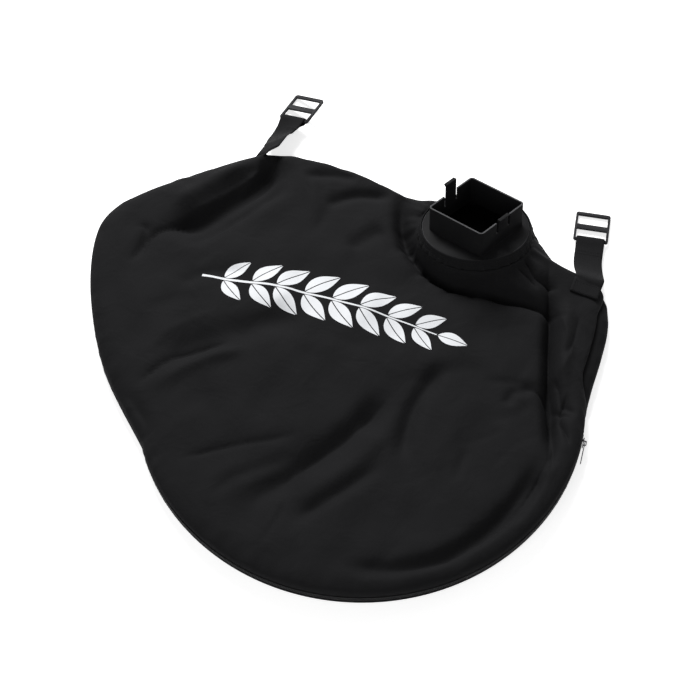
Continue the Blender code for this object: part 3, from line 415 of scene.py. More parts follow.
def new_piece(name, vertices, faces, material, node=None, uv=None):
    """A smooth-shaded mesh that rides the bag, in place of a CAD node if it names one. Its uv gives two coordinates
    in metres for each vertex."""
    mesh = bpy.data.meshes.new(name)
    mesh.from_pydata(np.asarray(vertices, float), [], faces)
    mesh.shade_smooth()
    if uv is not None:
        corners = np.empty(len(mesh.loops), int)
        mesh.loops.foreach_get("vertex_index", corners)
        mesh.uv_layers.new(name="UVMap").data.foreach_set("uv", np.asarray(uv)[corners].ravel())
    piece = add_object(name, mesh)
    mesh.materials.append(material)
    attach(piece, "bag")
    if node:
        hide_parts(node)
    return piece


def face_out(vertices, faces, outward):
    """Turns the faces round if the first of them points against the given direction."""
    a, b, c = (vertices[faces[0][k]] for k in range(3))
    return faces if np.dot(np.cross(b - a, c - a), outward) > 0 else faces[:, ::-1]


def curve_through(points, steps, before, after, crowd=None):
    """Catmull-Rom curve through the points, cut at equal steps of its length, or of its length times crowd."""
    line = np.array([before, *points, after], dtype=float)
    t = np.linspace(0, 1, 24, endpoint=False)[:, None]
    dense = []
    for p0, p1, p2, p3 in zip(line, line[1:], line[2:], line[3:]):
        dense.append(0.5 * (2 * p1 + (p2 - p0) * t + (2 * p0 - 5 * p1 + 4 * p2 - p3) * t ** 2
                            + (3 * p1 - p0 - 3 * p2 + p3) * t ** 3))
    dense = np.concatenate([*dense, line[-2:-1]])
    pieces = np.linalg.norm(np.diff(dense, axis=0), axis=1)
    if crowd is not None:
        pieces = pieces * crowd((dense[1:] + dense[:-1]) / 2)
    run = np.concatenate([[0], np.cumsum(pieces)])
    at = np.linspace(0, run[-1], steps + 2)[1:-1]
    return np.column_stack([np.interp(at, run, dense[:, k]) for k in range(dense.shape[1])])


def neck_crowding(points):
    """Stations lie up to 2.8 times closer together round the neck."""
    off = np.linalg.norm(points - np.array(COLLAR_CENTRE[:2]), axis=1)
    return 1 + 1.8 * smooth(2 - off / FLANGE_RADIUS / 0.9)


def outline():
    """Plan of the bag's edge: the zip's arc from left to right, then the sides and top anticlockwise."""
    angles = np.linspace(ZIP_LAST, ZIP_FIRST, ARC_STEPS + 1)
    arc = ZIP_RADIUS * np.column_stack([np.cos(angles), np.sin(angles)])
    sides = curve_through([arc[-1], *SIDE_POINTS, arc[0]], SIDE_STEPS, arc[-9], arc[8], neck_crowding)
    return np.concatenate([arc, sides])


EDGE = outline()
STATIONS = len(EDGE)
ALONG = run_along(EDGE)
GIRTH = ALONG[-1] + float(np.linalg.norm(EDGE[0] - EDGE[-1]))


def inward_directions():
    """Unit directions into the bag, square to its edge: the edge's own direction turned a quarter left."""
    along = np.roll(EDGE, -1, axis=0) - np.roll(EDGE, 1, axis=0)
    return unit(np.column_stack([-along[:, 1], along[:, 0]]))


INWARD = inward_directions()


def roll_out():
    """How far the seam lies inside the outline: 17 mm on the right, easing to nothing at both ends."""
    rolled = np.zeros(STATIONS)
    middle = np.linspace(0, 1, SIDE_STEPS) / ROLL_TO
    rolled[ARC_STEPS + 1:] = ROLL * smooth(3.5 * middle) * smooth(3.5 * (1 - middle))
    return rolled


def half_opening():
    """Half the distance between the panels' edges: 6 mm along the zip, and nothing past its ends."""
    angle = np.linspace(ZIP_LAST, ZIP_FIRST, ARC_STEPS + 1)
    half = np.full(STATIONS, SEAM_HALF)
    to_end = np.minimum(angle - ZIP_LAST, ZIP_FIRST - angle)
    half[:ARC_STEPS + 1] += (ZIP_OPENING / 2 - SEAM_HALF) * np.clip(to_end / ZIP_END, 0, 1)
    return half


def collar_frame():
    """Placement of the collar: its axis is the frame's +Z, its square's sides lie along X and Y."""
    lean = Vector((math.cos(COLLAR_LEAN), math.sin(COLLAR_LEAN), 0.0))
    axis = (Vector((0, 0, 1)) * math.cos(COLLAR_TILT) + lean * math.sin(COLLAR_TILT)).normalized()
    side = Vector((math.cos(COLLAR_TWIST), math.sin(COLLAR_TWIST), 0.0))
    side = (side - axis * side.dot(axis)).normalized()
    turn = Matrix((side, axis.cross(side), axis)).transposed()
    return Matrix.Translation(COLLAR_CENTRE) @ turn.to_4x4()


COLLAR = np.array(collar_frame())


def placed(points):
    """Points of the collar's frame in the bag's frame."""
    return np.asarray(points) @ COLLAR[:3, :3].T + COLLAR[:3, 3]


def neck_ring():
    """Edge of the front panel's hole, one point for each station, in the directions that the spokes give."""
    at = [ALONG[np.argmin(np.linalg.norm(EDGE - np.array(point), axis=1))] for point, _ in SPOKES]
    turns = np.radians([angle for _, angle in SPOKES])
    angles = np.interp(ALONG, [*at, at[0] + GIRTH], [*turns, turns[0] + math.tau])
    flat = np.column_stack([np.cos(angles), np.sin(angles), np.zeros(STATIONS)]) @ COLLAR[:3, :3]
    flat[:, 2] = 0
    return placed(unit(flat) * NECK_RADIUS - np.array([0, 0, NECK_DROP]))


def neck_rise(x, y):
    """Distance in plan from the neck, how far the panel has risen to it, and the height of its edge there."""
    foot = placed([[0, 0, -NECK_DROP]])[0]
    axis = COLLAR[:3, 2]
    dx, dy = x - foot[0], y - foot[1]
    off = np.hypot(dx, dy)
    gentle = smooth(0.5 + 0.8 * np.cos(np.arctan2(dy, dx) - NECK_GENTLE))
    spread = NECK_SPREAD_FRONT + (NECK_SPREAD - NECK_SPREAD_FRONT) * gentle
    away = np.maximum(off - NECK_RADIUS, 0.0)
    share = NECK_RADIUS / np.maximum(off, NECK_RADIUS)
    edge = foot[2] - (dx * axis[0] + dy * axis[1]) * share / axis[2]
    return away, (1 - np.clip(away / spread, 0, 1)) ** 2, edge


def fold(x, y, points, half_width, height, power=2):
    """One fold: height * exp(-(off/half_width)^power) round a smooth line, tapering to nothing at both its ends.
    A power of 2 gives a round groove or ridge, and 1 a sharp crease."""
    line = np.array([points[0], *curve_through(points, 5 * len(points), points[0], points[-1]), points[-1]])
    nearest = np.full(x.shape, np.inf)
    share = np.zeros(x.shape)
    for i, (a, b) in enumerate(zip(line, line[1:])):
        d = b - a
        t = np.clip(((x - a[0]) * d[0] + (y - a[1]) * d[1]) / max(d @ d, 1e-12), 0, 1)
        off = np.hypot(x - a[0] - t * d[0], y - a[1] - t * d[1])
        closer = off < nearest
        nearest = np.where(closer, off, nearest)
        share = np.where(closer, (i + t) / (len(line) - 1), share)
    taper = smooth(4 * share) * smooth(4 * (1 - share))
    return height * np.exp(-(nearest / half_width) ** power) * taper


def faint_folds(x, y):
    """Scattered shallow creases with seeded places, directions and sizes."""
    draw = np.random.default_rng(SEED)
    total = np.zeros_like(x)
    for _ in range(FAINT_FOLDS):
        middle = draw.uniform((-0.36, -0.22), (0.24, 0.26))
        turn = draw.normal(math.radians(-115), 0.7)
        reach = draw.uniform(0.025, 0.07)
        step = np.array([math.cos(turn), math.sin(turn)]) * reach
        bend = np.array([-step[1], step[0]]) * draw.uniform(-0.3, 0.3)
        total += fold(x, y, (middle - step, middle + bend, middle + step),
                      draw.uniform(0.004, 0.011), draw.uniform(-0.0022, 0.0016))
    return total


def ripples(x, y):
    """Slack cloth: a sum of sines with seeded directions, 35 to 120 mm long."""
    draw = np.random.default_rng(SEED + 1)
    total = np.zeros_like(x)
    for _ in range(RIPPLES):
        length = draw.uniform(0.035, 0.12)
        turn = draw.uniform(0, math.pi)
        phase = draw.uniform(0, math.tau)
        run = x * math.cos(turn) + y * math.sin(turn)
        total += RIPPLE_SHARE * length * np.sin(math.tau * run / length + phase)
    return total


def edge_puckers(from_seam):
    """Puckers that a line of stitches draws in: two waves along the edge, fading 30 mm into the bag."""
    wave = 0.5 * np.sin(math.tau * ALONG / 0.023 + 3.0 * np.sin(ALONG / 0.05))
    wave += 0.8 * np.sin(math.tau * ALONG / 0.047 + 3.0 * np.sin(ALONG / 0.13))
    wave *= 0.5 + 0.5 * np.sin(ALONG / 0.031 + 2.0 * np.sin(ALONG / 0.09))
    return 0.0010 * wave[None, :] * smooth(from_seam / 0.004) * (1 - smooth(from_seam / 0.032))


def neck_puckers(x, y, from_neck):
    """Gathers that fan out from the neck and fade away: a wave round the collar with uneven spacing."""
    angle = np.arctan2(y - COLLAR_CENTRE[1], x - COLLAR_CENTRE[0])
    wave = np.sin(PUCKERS * angle + 1.3 * np.sin(3 * angle)) + 0.5 * np.sin(1.7 * PUCKERS * angle)
    return PUCKER_HEIGHT * wave * (1 - smooth(from_neck / PUCKER_REACH))


def front_grid():
    """Front panel: a hem turned in behind the zip, a low upright wall, then the height over each spoke, which is a
    quarter ellipse from the seam up to the crown, with folds, puckers and gathers added."""
    rolled = roll_out()
    half = half_opening()
    seam = np.column_stack([EDGE + INWARD * rolled[:, None], SEAM_HEIGHT + ROLL_LIFT * rolled + half])
    ring = neck_ring()
    u = np.linspace(0, 1, PANEL_ROWS)
    shares = 0.4 * u + 0.6 * smooth(u)
    plan = seam[None, :, :2] * (1 - shares[:, None, None]) + ring[None, :, :2] * shares[:, None, None]
    from_seam = np.linalg.norm(plan - seam[None, :, :2], axis=2)
    x, y = plan[..., 0], plan[..., 1]
    from_neck, near, neck = neck_rise(x, y)
    from_middle = np.hypot(x - CROWN_MIDDLE[0], y - CROWN_MIDDLE[1])
    crown = CROWN_HEIGHT + CROWN_RISE * np.exp(-(from_middle / CROWN_SPREAD) ** 2)
    relief = ripples(x, y) + faint_folds(x, y)
    relief += sum(fold(x, y, *stroke) for stroke in (*MAIN_FOLDS, *FOLDS))
    relief += sum(fold(x, y, *stroke, 1) for stroke in CREASES)
    crown = crown * (1 - near) + neck * near + relief * smooth(from_seam / FOLD_FADE) * smooth(from_neck / NECK_FADE)
    foot = seam[None, :, 2] + WALL_HEIGHT
    ease = np.clip(from_seam / SHOULDER, 0, 1)
    height = foot + (crown - foot) * np.sqrt(1 - (1 - ease) ** 2)
    height += edge_puckers(from_seam) + neck_puckers(x, y, from_neck) * smooth(from_neck / NECK_FADE)
    height += sum(fold(x, y, *stroke, 1) for stroke in ROOT_GATHERS) * smooth(from_seam / ROOT_FADE)
    least = LEAST_HEIGHT + LEAST_BLEND * np.logaddexp(0, (height - LEAST_HEIGHT) / LEAST_BLEND)
    height += (least - height) * smooth(from_seam / LEAST_FADE)
    height[-1] = ring[:, 2]
    hem = [np.column_stack([seam[:, :2] + INWARD * inset, seam[:, 2] + lift]) for inset, lift in (*HEM, *LIP)]
    return np.concatenate([np.array(hem), np.dstack([plan, height])])


def back_grid():
    """Back panel: a wall down from the seam that rolls out on the right, then the flat towards the middle."""
    rolled = roll_out()
    half = half_opening()
    top = SEAM_HEIGHT + ROLL_LIFT * rolled - half
    middle = BASE_RADIUS + 0.35 * (top - BASE_RADIUS)
    rows = [np.column_stack([EDGE + INWARD * (rolled[:, None] + inset), top - lift]) for inset, lift in HEM]
    wave = 0.0008 * np.sin(math.tau * ALONG / 0.026 + 2 * np.sin(ALONG / 0.09))
    for turn in np.linspace(0, math.pi / 2, 10):
        inset = rolled * (1 - math.sin(turn)) - wave * math.sin(turn) * math.sin(2 * turn)
        rows.append(np.column_stack([EDGE + INWARD * inset[:, None], middle + (top - middle) * math.cos(turn)]))
    for turn in np.linspace(0, math.pi / 2, 6):
        inset = BASE_RADIUS * (1 - math.cos(turn))
        lift = middle * (1 - turn / (math.pi / 2))
        rows.append(np.column_stack([EDGE + INWARD * inset, np.maximum(lift, 0) * math.cos(turn)]))
    centre = np.array(BACK_CENTRE)
    rim = EDGE + INWARD * BASE_RADIUS
    for share in np.linspace(0, 1, 46)[1:-1]:
        x, y = (rim * (1 - share) + centre * share).T
        slack = BACK_RISE * (1 + np.sin(x / 0.011 + 3 * np.sin(y / 0.05))) * smooth(6 * share)
        rows.append(np.column_stack([x, y, slack]))
    return np.array(rows), centre


def make_front_panel(cloth):
    """The front panel, its first face a level one that has to point up, and a tree to cast rays on."""
    grid = front_grid()
    rows, cols = grid.shape[:2]
    vertices = grid.reshape(-1, 3)
    faces = grid_faces(rows, cols, True)
    middle = len(faces) // 2
    faces = face_out(vertices, np.roll(faces, -middle, axis=0), np.array([0, 0, 1.0]))
    piece = new_piece("bag_front", vertices, faces, cloth, "front_panel")
    return piece, BVHTree.FromPolygons(vertices.tolist(), faces.tolist())


def make_back_panel(cloth):
    """The back panel, its last row closed by a fan of triangles round its centre."""
    grid, centre = back_grid()
    rows, cols = grid.shape[:2]
    vertices = np.concatenate([grid.reshape(-1, 3), [[*centre, BACK_RISE]]])
    faces = grid_faces(rows, cols, True)
    faces = face_out(vertices, np.roll(faces, len(faces) // 4, axis=0), np.array([0, 0, -1.0]))
    last = (rows - 1) * cols + np.arange(cols)
    fan = [(int(a), int(b), rows * cols) for a, b in zip(last, np.roll(last, -1))]
    down = np.cross(vertices[fan[0][1]] - vertices[fan[0][0]], vertices[-1] - vertices[fan[0][0]])[2] < 0
    fan = fan if down else [f[::-1] for f in fan]
    return new_piece("bag_back", vertices, [*faces.tolist(), *fan], cloth, "back_panel")


def swept(sections):
    """A bar through matching closed sections, with flat ends."""
    sections = np.asarray(sections)
    count, sides = sections.shape[:2]
    faces = grid_faces(count, sides, True).tolist()
    faces += [list(range(sides))[::-1], [(count - 1) * sides + k for k in range(sides)]]
    return sections.reshape(-1, 3), faces


def merged_copy(node, material, body, bevel):
    """A CAD node's own shape with its triangles merged and its edges rounded, as a mould leaves them."""
    shape = bmesh.new()
    shape.from_mesh(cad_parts[node].data)
    bmesh.ops.remove_doubles(shape, verts=shape.verts, dist=0.000005)
    bmesh.ops.dissolve_limit(shape, angle_limit=math.radians(1), verts=shape.verts, edges=shape.edges)
    mesh = bpy.data.meshes.new(node + "_finished")
    shape.to_mesh(mesh)
    shape.free()
    mesh.materials.clear()
    mesh.materials.append(material)
    mesh.shade_smooth()
    piece = add_object(mesh.name, mesh)
    step = piece.modifiers.new("rounded_edges", "BEVEL")
    step.width = bevel
    step.segments = 2
    step.limit_method = "ANGLE"
    step.angle_limit = math.radians(40)
    step.harden_normals = True
    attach(piece, body)
    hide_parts(node)
    return piece


def paint_edge_highlight(piece, material):
    """Gives a second material, a painted highlight in paler grey, to the faces of the tube's rim and of the chamfer
    round the flange, by their middles.
    """
    piece.data.materials.append(material)
    for face in piece.data.polygons:
        x, y, z = COLLAR[:3, :3].T @ (np.array(face.center) - COLLAR[:3, 3])
        on_rim = abs(z - COLLAR_HEIGHT) < 0.0006
        on_chamfer = abs(z + 0.0003) < 0.0002 and math.hypot(x, y) > FLANGE_RADIUS - 0.001
        if on_rim or on_chamfer:
            face.material_index = 1


def copied(template, faces, places, axes):
    """A small shape repeated: each copy's points are place + x*axis1 + y*axis2 + z*axis3."""
    points = places[:, None, :] + np.einsum("kc,ncd->nkd", template, axes)
    shifts = np.arange(len(places)) * len(template)
    return points.reshape(-1, 3), [[int(i + shift) for i in face] for shift in shifts for face in faces]


def stitches(name, lines, thread, pitch=0.0042, length=0.0034, radius=0.00028):
    """Rows of lock stitches: along each line of points and normals, a slim lozenge every pitch, half sunk."""
    rings = [(-0.5, 0.35), (-0.3, 1.0), (0.3, 1.0), (0.5, 0.35)]
    turns = np.arange(4) * math.pi / 2
    template = np.array([(t * length, r * radius * math.cos(a) * 1.2, r * radius * math.sin(a))
                         for t, r in rings for a in turns])
    faces = swept(template.reshape(4, 4, 3))[1]
    places, axes = [], []
    for points, normals in lines:
        run = run_along(points)
        at = np.arange(pitch / 2, run[-1], pitch)
        middle, before, after = (np.column_stack([np.interp(at + d, run, points[:, k]) for k in range(3)])
                                 for d in (0, -length / 2, length / 2))
        up = np.column_stack([np.interp(at, run, normals[:, k]) for k in range(3)])
        along = unit(after - before)
        up = unit(up - along * np.sum(up * along, axis=1, keepdims=True))
        places.append(middle + up * radius * 0.4)
        axes.append(np.stack([along, np.cross(up, along), up], axis=1))
    vertices, faces = copied(template, faces, np.concatenate(places), np.concatenate(axes))
    new_piece(name, vertices, faces, thread)


def arc_points(radius, height, first, last, steps=300):
    """Points of an arc about +Z, and its outward normals."""
    a = np.linspace(first, last, steps)
    out = np.column_stack([np.cos(a), np.sin(a), np.zeros(steps)])
    return out * radius + np.array([0, 0, height]), out


def make_tapes(tape):
    """Two flat woven bands behind the cloth's folded edges: a rectangle carried along the arc."""
    for name, sign in (("front", 1), ("back", -1)):
        a = np.linspace(ZIP_LAST + ZIP_END, ZIP_FIRST - ZIP_END, 320)
        outer = TAPE_RADIUS + TAPE
        corners = [(TAPE_RADIUS, TAPE_WIDTH), (TAPE_RADIUS, 0), (outer, 0), (outer, TAPE_WIDTH)]
        heights = SEAM_HEIGHT + sign * (CHAIN_GAP / 2 + np.array([h for _, h in corners]))
        sections = np.array([[(r * math.cos(t), r * math.sin(t), z) for (r, _), z in zip(corners, heights)]
                             for t in a])
        vertices, faces = swept(sections if sign > 0 else sections[:, ::-1])
        uv = np.column_stack([np.repeat(a * TAPE_RADIUS, 4), vertices[:, 2]])
        new_piece("tape_" + name, vertices, faces, tape, "zip_tape_" + name, uv)


def make_teeth(coil):
    """Two rows of coil teeth, each a short hexagonal bar with a thicker head, set every pitch along the arc."""
    turns = np.arange(6) * math.tau / 6
    rings = [(0.0, 0.95), (0.15, 1.05), (0.7, 0.75), (1.0, 0.8)]
    template = np.array([(0.0011 + 0.0011 * r * math.cos(a), 0.00062 * r * math.sin(a), h * CHAIN_WIDTH)
                         for h, r in rings for a in turns])
    faces = swept(template.reshape(4, 6, 3))[1]
    for name, sign in (("front", 1), ("back", -1)):
        step = TOOTH_PITCH / CHAIN_RADIUS
        a = np.arange(CHAIN_FIRST + step * (1.0 if sign > 0 else 1.5), CHAIN_LAST - step / 2, step)
        out = np.column_stack([np.cos(a), np.sin(a), 0 * a])
        along = np.column_stack([-np.sin(a), np.cos(a), 0 * a])
        up = np.tile([0, 0, float(sign)], (len(a), 1))
        places = out * CHAIN_RADIUS + np.array([0, 0, SEAM_HEIGHT + sign * CHAIN_GAP / 2])
        vertices, repeated = copied(template, faces, places, np.stack([out, along, up], axis=1))
        if sign < 0:
            repeated = [face[::-1] for face in repeated]
        new_piece("teeth_" + name, vertices, repeated, coil, "zip_teeth_" + name)


def make_cuff(cloth, thread):
    """Sewn band round the flange: a closed profile turned about the collar's axis, gathered towards its foot."""
    angle = np.linspace(0, math.tau, CUFF_STEPS + 1)[:-1]
    flat = np.column_stack([np.cos(angle), np.sin(angle), np.zeros(CUFF_STEPS)])
    wave = np.sin(31 * angle + 1.2 * np.sin(4 * angle)) + 0.6 * np.sin(53 * angle + 2 * np.sin(3 * angle))
    outer = [(0.0002, 0.0010), (0.0006, 0.0017), (0.0014, 0.0014), (0.0020, 0.0004), (0.0022, -0.0015),
             (0.0026, -0.0035), (0.0033, -0.0060), (0.0042, -0.0085), (0.0053, -0.0108), (0.0056, -0.0120)]
    inner = [(0.0040, -0.0120), (0.0022, -0.0065), (0.0001, -0.0026), (0.0001, -0.0002), (0.0002, 0.0010)]

    def ring(off, z):
        sag = max(0.0, -z - CUFF_FLAT) / CUFF_DEPTH
        radius = CUFF_INNER + off + CUFF_WAVE * sag * wave
        return placed(flat * radius[:, None] + np.array([0, 0, z]))

    vertices = np.concatenate([ring(off, z) for off, z in outer + inner])
    fourth = 3 * CUFF_STEPS
    faces = np.roll(grid_faces(len(outer + inner), CUFF_STEPS, True), -fourth, axis=0)
    faces = face_out(vertices, faces, vertices[fourth] - COLLAR[:3, 3])
    new_piece("neck_band", vertices, faces, cloth, "neck_cuff")
    lines = [(ring(off, z), (flat + np.array([0, 0, tilt])) @ COLLAR[:3, :3].T)
             for off, z, tilt in ((0.0024, -0.0028, 0.2), (0.0040, -0.0078, 0.35))]
    stitches("neck_stitches", lines, thread)


def buckle_axes(heading, pitch, roll):
    """Directions of a buckle: away from its bar, across it to the right, and up out of its face."""
    heading, pitch, roll = (math.radians(turn) for turn in (heading, pitch, roll))
    level = np.array([math.cos(heading), math.sin(heading), 0.0])
    right = np.array([math.sin(heading), -math.cos(heading), 0.0])
    ahead = level * math.cos(pitch) + np.array([0, 0, math.sin(pitch)])
    up = np.cross(right, ahead)
    across = right * math.cos(roll) + up * math.sin(roll)
    return ahead, across, np.cross(across, ahead)


def loop_line(middle, ahead, up):
    """Middle line of the webbing round a bar: in over its top, round it and back below to the sewn end."""
    turn_radius = BAR_CLEAR + WEBBING / 2
    ply = WEBBING / 2 + 0.00015
    flat = [(-LOOP_JOIN, ply), (-0.6 * LOOP_JOIN, 0.60 * turn_radius), (-0.25 * LOOP_JOIN, 0.94 * turn_radius)]
    flat += [(turn_radius * math.sin(a), turn_radius * math.cos(a)) for a in np.linspace(0.05, math.pi - 0.05, 15)]
    flat += [(-0.25 * LOOP_JOIN, -0.94 * turn_radius), (-0.6 * LOOP_JOIN, -0.60 * turn_radius), (-LOOP_JOIN, -ply),
             (-0.5 * (LOOP_JOIN + LOOP_END), -ply), (-LOOP_END, -ply)]
    return [np.array(middle) + ahead * a + up * b for a, b in flat]


def turn_between(first, last, count):
    """Directions that turn evenly from the first to the last."""
    t = smooth(np.linspace(0, 1, count))[:, None]
    mixed = np.array(first)[None] * (1 - t) + np.array(last)[None] * t
    return unit(mixed)


def webbing(name, centres, sides, seat, material):
    """Flat webbing along a middle line, thinner at its selvedges, its root fitted by seat. Gives its upper face."""
    centres, sides = np.array(centres), np.array(sides)
    along = unit(np.gradient(centres, axis=0))
    sides = unit(sides - along * np.sum(sides * along, axis=1, keepdims=True))
    normals = np.cross(sides, along)
    shares = np.linspace(-0.5, 0.5, WEBBING_COLUMNS)
    thick = WEBBING / 2 * (1 - np.abs(2 * shares) ** 10 * 0.7)[None, :, None]
    lines = centres[:, None, :] + sides[:, None, :] * shares[None, :, None] * WEBBING_WIDTH
    upper, lower = seat(lines + normals[:, None, :] * thick, lines - normals[:, None, :] * thick)
    sections = np.concatenate([upper, lower[:, ::-1]], axis=1)
    run = run_along(centres)
    across = np.concatenate([shares, shares[::-1]]) * WEBBING_WIDTH
    uv = np.stack(np.broadcast_arrays(run[:, None], across[None, :]), axis=-1).reshape(-1, 2)
    vertices, faces = swept(sections)
    new_piece(name + "_webbing", vertices, faces, material, name, uv)
    return upper


def bar_seams(upper, join, up):
    """Two rows of stitches across the webbing, just before its loop closes round the bar."""
    return [(upper[join - k, 1:-1], np.tile(up, (WEBBING_COLUMNS - 2, 1))) for k in (3, 5)]


def make_right_strap(surface, material, thread):
    """Sewn flat on the front panel near its corner, down over the edge to the buckle on the floor."""
    ahead, across, up = buckle_axes(*RIGHT_TURN)
    loop = loop_line(RIGHT_BUCKLE, ahead, up)
    root, edge = np.array(RIGHT_ROOT), np.array(RIGHT_EDGE)
    out = (edge - root) / np.linalg.norm(edge - root)
    sewn = [root + out * s for s in np.linspace(0, SEWN_LENGTH, 9)]

    def height(point, spread=0.0015):
        """Highest cloth within the spread of a point, or None past its edge."""
        hits = [surface.ray_cast(Vector((point[0] + dx, point[1] + dy, 1.0)), Vector((0, 0, -1)))[0]
                for dx in (-spread, 0, spread) for dy in (-spread, 0, spread)]
        return max([hit.z for hit in hits if hit], default=None)

    laid = [np.array([*p, height(p) + WEBBING / 2]) for p in sewn]
    over = np.array([*edge, laid[-1][2] + 0.0015])
    landed = loop[0] - ahead * (LOOP_END - LOOP_JOIN + 0.006)
    free = curve_through([laid[-1], over, (over * 0.45 + landed * 0.55) - up * 0.004, landed, loop[0]],
                         FREE_STEPS, laid[-2], loop[1])
    side = np.array([out[1], -out[0], 0.0])
    sides = [side] * len(laid) + list(turn_between(side, across, len(free))) + [across] * len(loop)

    def lie(upper, lower):
        """Lifts each point of the sewn end that would lie under the cloth."""
        for row in range(len(laid) + 8):
            for col in range(lower.shape[1]):
                floor = height(lower[row, col])
                if floor is not None and lower[row, col, 2] < floor + LAID_GAP:
                    lower[row, col, 2] = floor + LAID_GAP
                    upper[row, col] = lower[row, col] + np.array([0, 0, WEBBING])
        return upper, lower

    upper = webbing("strap_right", laid + list(free) + loop, sides, lie, material)
    box = [upper[:9, 1], upper[:9, -2], upper[1, 1:-1], upper[7, 1:-1]]
    rows = [(line, np.tile([0, 0, 1.0], (len(line), 1))) for line in box]
    rows += bar_seams(upper, len(laid) + len(free), up)
    stitches("strap_right_stitches", rows, thread)


def make_left_strap(surface, material, thread):
    """Leaves the bag's edge turned by its roll, and twists flat on its way to the buckle: the share of that roll
    is 1 - (1 - t)^2, where t falls from 1 at the root to 0 at the bar."""
    ahead, across, up = buckle_axes(*LEFT_TURN)
    loop = loop_line(LEFT_BUCKLE, ahead, up)
    root = np.array(LEFT_ROOT)
    landed = loop[0] - ahead * (LOOP_END - LOOP_JOIN)
    free = curve_through([root, root * 0.5 + landed * 0.5, landed, loop[0]], FREE_STEPS, root - ahead * 0.03, loop[1])
    upright = np.array([math.cos(LEFT_ROOT_ROLL), 0.0, math.sin(LEFT_ROOT_ROLL)])
    centres = np.array([root, *free, *loop])
    behind = (np.array(LEFT_BUCKLE) - centres) @ ahead
    turned = 1 - (1 - np.clip((behind - 0.004) / (behind[0] - 0.004), 0, 1)) ** 2
    sides = across * (1 - turned[:, None]) + upright * turned[:, None]
    back = Vector(tuple(-ahead))

    def meet(*layers):
        """Carries the root's first rows straight back until they meet the cloth."""
        starts = [[Vector(tuple(point)) for point in layer[4]] for layer in layers]
        hits = [[surface.ray_cast(start, back, LEFT_REACH)[0] for start in row] for row in starts]
        runs = np.array([[(hit - start).length if hit else LEFT_REACH for hit, start in zip(*rows)]
                         for rows in zip(hits, starts)])
        nearest = runs.min(axis=0)
        reach = np.where(nearest < LEFT_REACH, nearest, nearest.min()) + 0.0006
        for layer in layers:
            for row in range(4):
                layer[row] = layer[4] - ahead * (reach * (1 - row / 4))[:, None]
        return layers

    upper = webbing("strap_left", centres, sides, meet, material)
    stitches("strap_left_stitches", bar_seams(upper, 1 + len(free), up), thread)


def leaf_halves(base, direction, length, half_width, bend):
    """Two halves of an oval leaf beside a bare midrib: half width * sin(pi*u^0.8) at share u of its length."""
    side = np.array([-direction[1], direction[0]])
    u = np.linspace(0, 1, 19)[:, None]
    middle = base + direction * length * u + side * bend * length * u ** 2
    width = half_width * np.sin(math.pi * u ** 0.8)
    return [middle[:, None, :] + side * (sign * (0.06 * half_width + width * np.linspace(0.0, 1, 6)[None, :])
                                         [..., None]) for sign in (-1, 1)]


def sprig():
    """A generic leafy twig in plan: a stem on a gentle arc, pairs of oval leaves along it and one at its tip."""
    t = np.linspace(0, 1, 60)
    start, end = np.array(TWIG_ENDS)
    side = np.array([start[1] - end[1], end[0] - start[0]])
    stem = start + (end - start) * t[:, None] + 0.035 * side * np.sin(math.pi * t)[:, None]
    along = unit(np.gradient(stem, axis=0))
    across = np.column_stack([-along[:, 1], along[:, 0]])
    width = 0.0019 * (1 - 0.55 * t)[:, None, None]
    patches = [stem[:, None, :] + across[:, None, :] * width * np.array([-1, 0, 1])[None, :, None]]
    for at in np.linspace(0.09, 0.90, LEAF_PAIRS):
        k = int(at * 59)
        size = 0.036 + 0.014 * math.sin(math.pi * at)
        for sign in (1, -1):
            turn = sign * math.radians(52 - 10 * at)
            d = along[k] * math.cos(turn) + across[k] * math.sin(turn)
            patches += leaf_halves(stem[k] + d * 0.004, d, size, 0.0085 + 0.003 * math.sin(math.pi * at), -0.12 * sign)
    return patches + leaf_halves(stem[-1] + along[-1] * 0.002, along[-1], 0.040, 0.0090, 0.0)


def make_print(surface, ink):
    """The twig laid on the cloth: each point is dropped onto it and lifted by the ink's thickness."""
    vertices, faces = [], []
    for patch in sprig():
        rows, cols = patch.shape[:2]
        first = len(vertices)
        for x, y in patch.reshape(-1, 2):
            hit, normal, _, _ = surface.ray_cast(Vector((x, y, 1.0)), Vector((0, 0, -1)))
            vertices.append(tuple(hit + normal * (INK if normal.z > 0 else -INK)))
        quads = grid_faces(rows, cols, False)
        a, b, c = (np.array(vertices[first + k]) for k in (0, 1, cols))
        if np.cross(b - a, c - a)[2] < 0:
            quads = quads[:, ::-1]
        faces += (quads + first).tolist()
    new_piece("leaf_print", vertices, faces, ink)


def make_hem_stitches(thread):
    """Two rows of stitches beside each folded edge of the zip's opening."""
    first, last = ZIP_LAST + ZIP_END, ZIP_FIRST - ZIP_END
    edges = (SEAM_HEIGHT + ZIP_OPENING / 2 + 0.0022, SEAM_HEIGHT - ZIP_OPENING / 2 - 0.0022)
    stitches("hem_stitches", [arc_points(ZIP_RADIUS, z, first, last) for z in edges], thread)


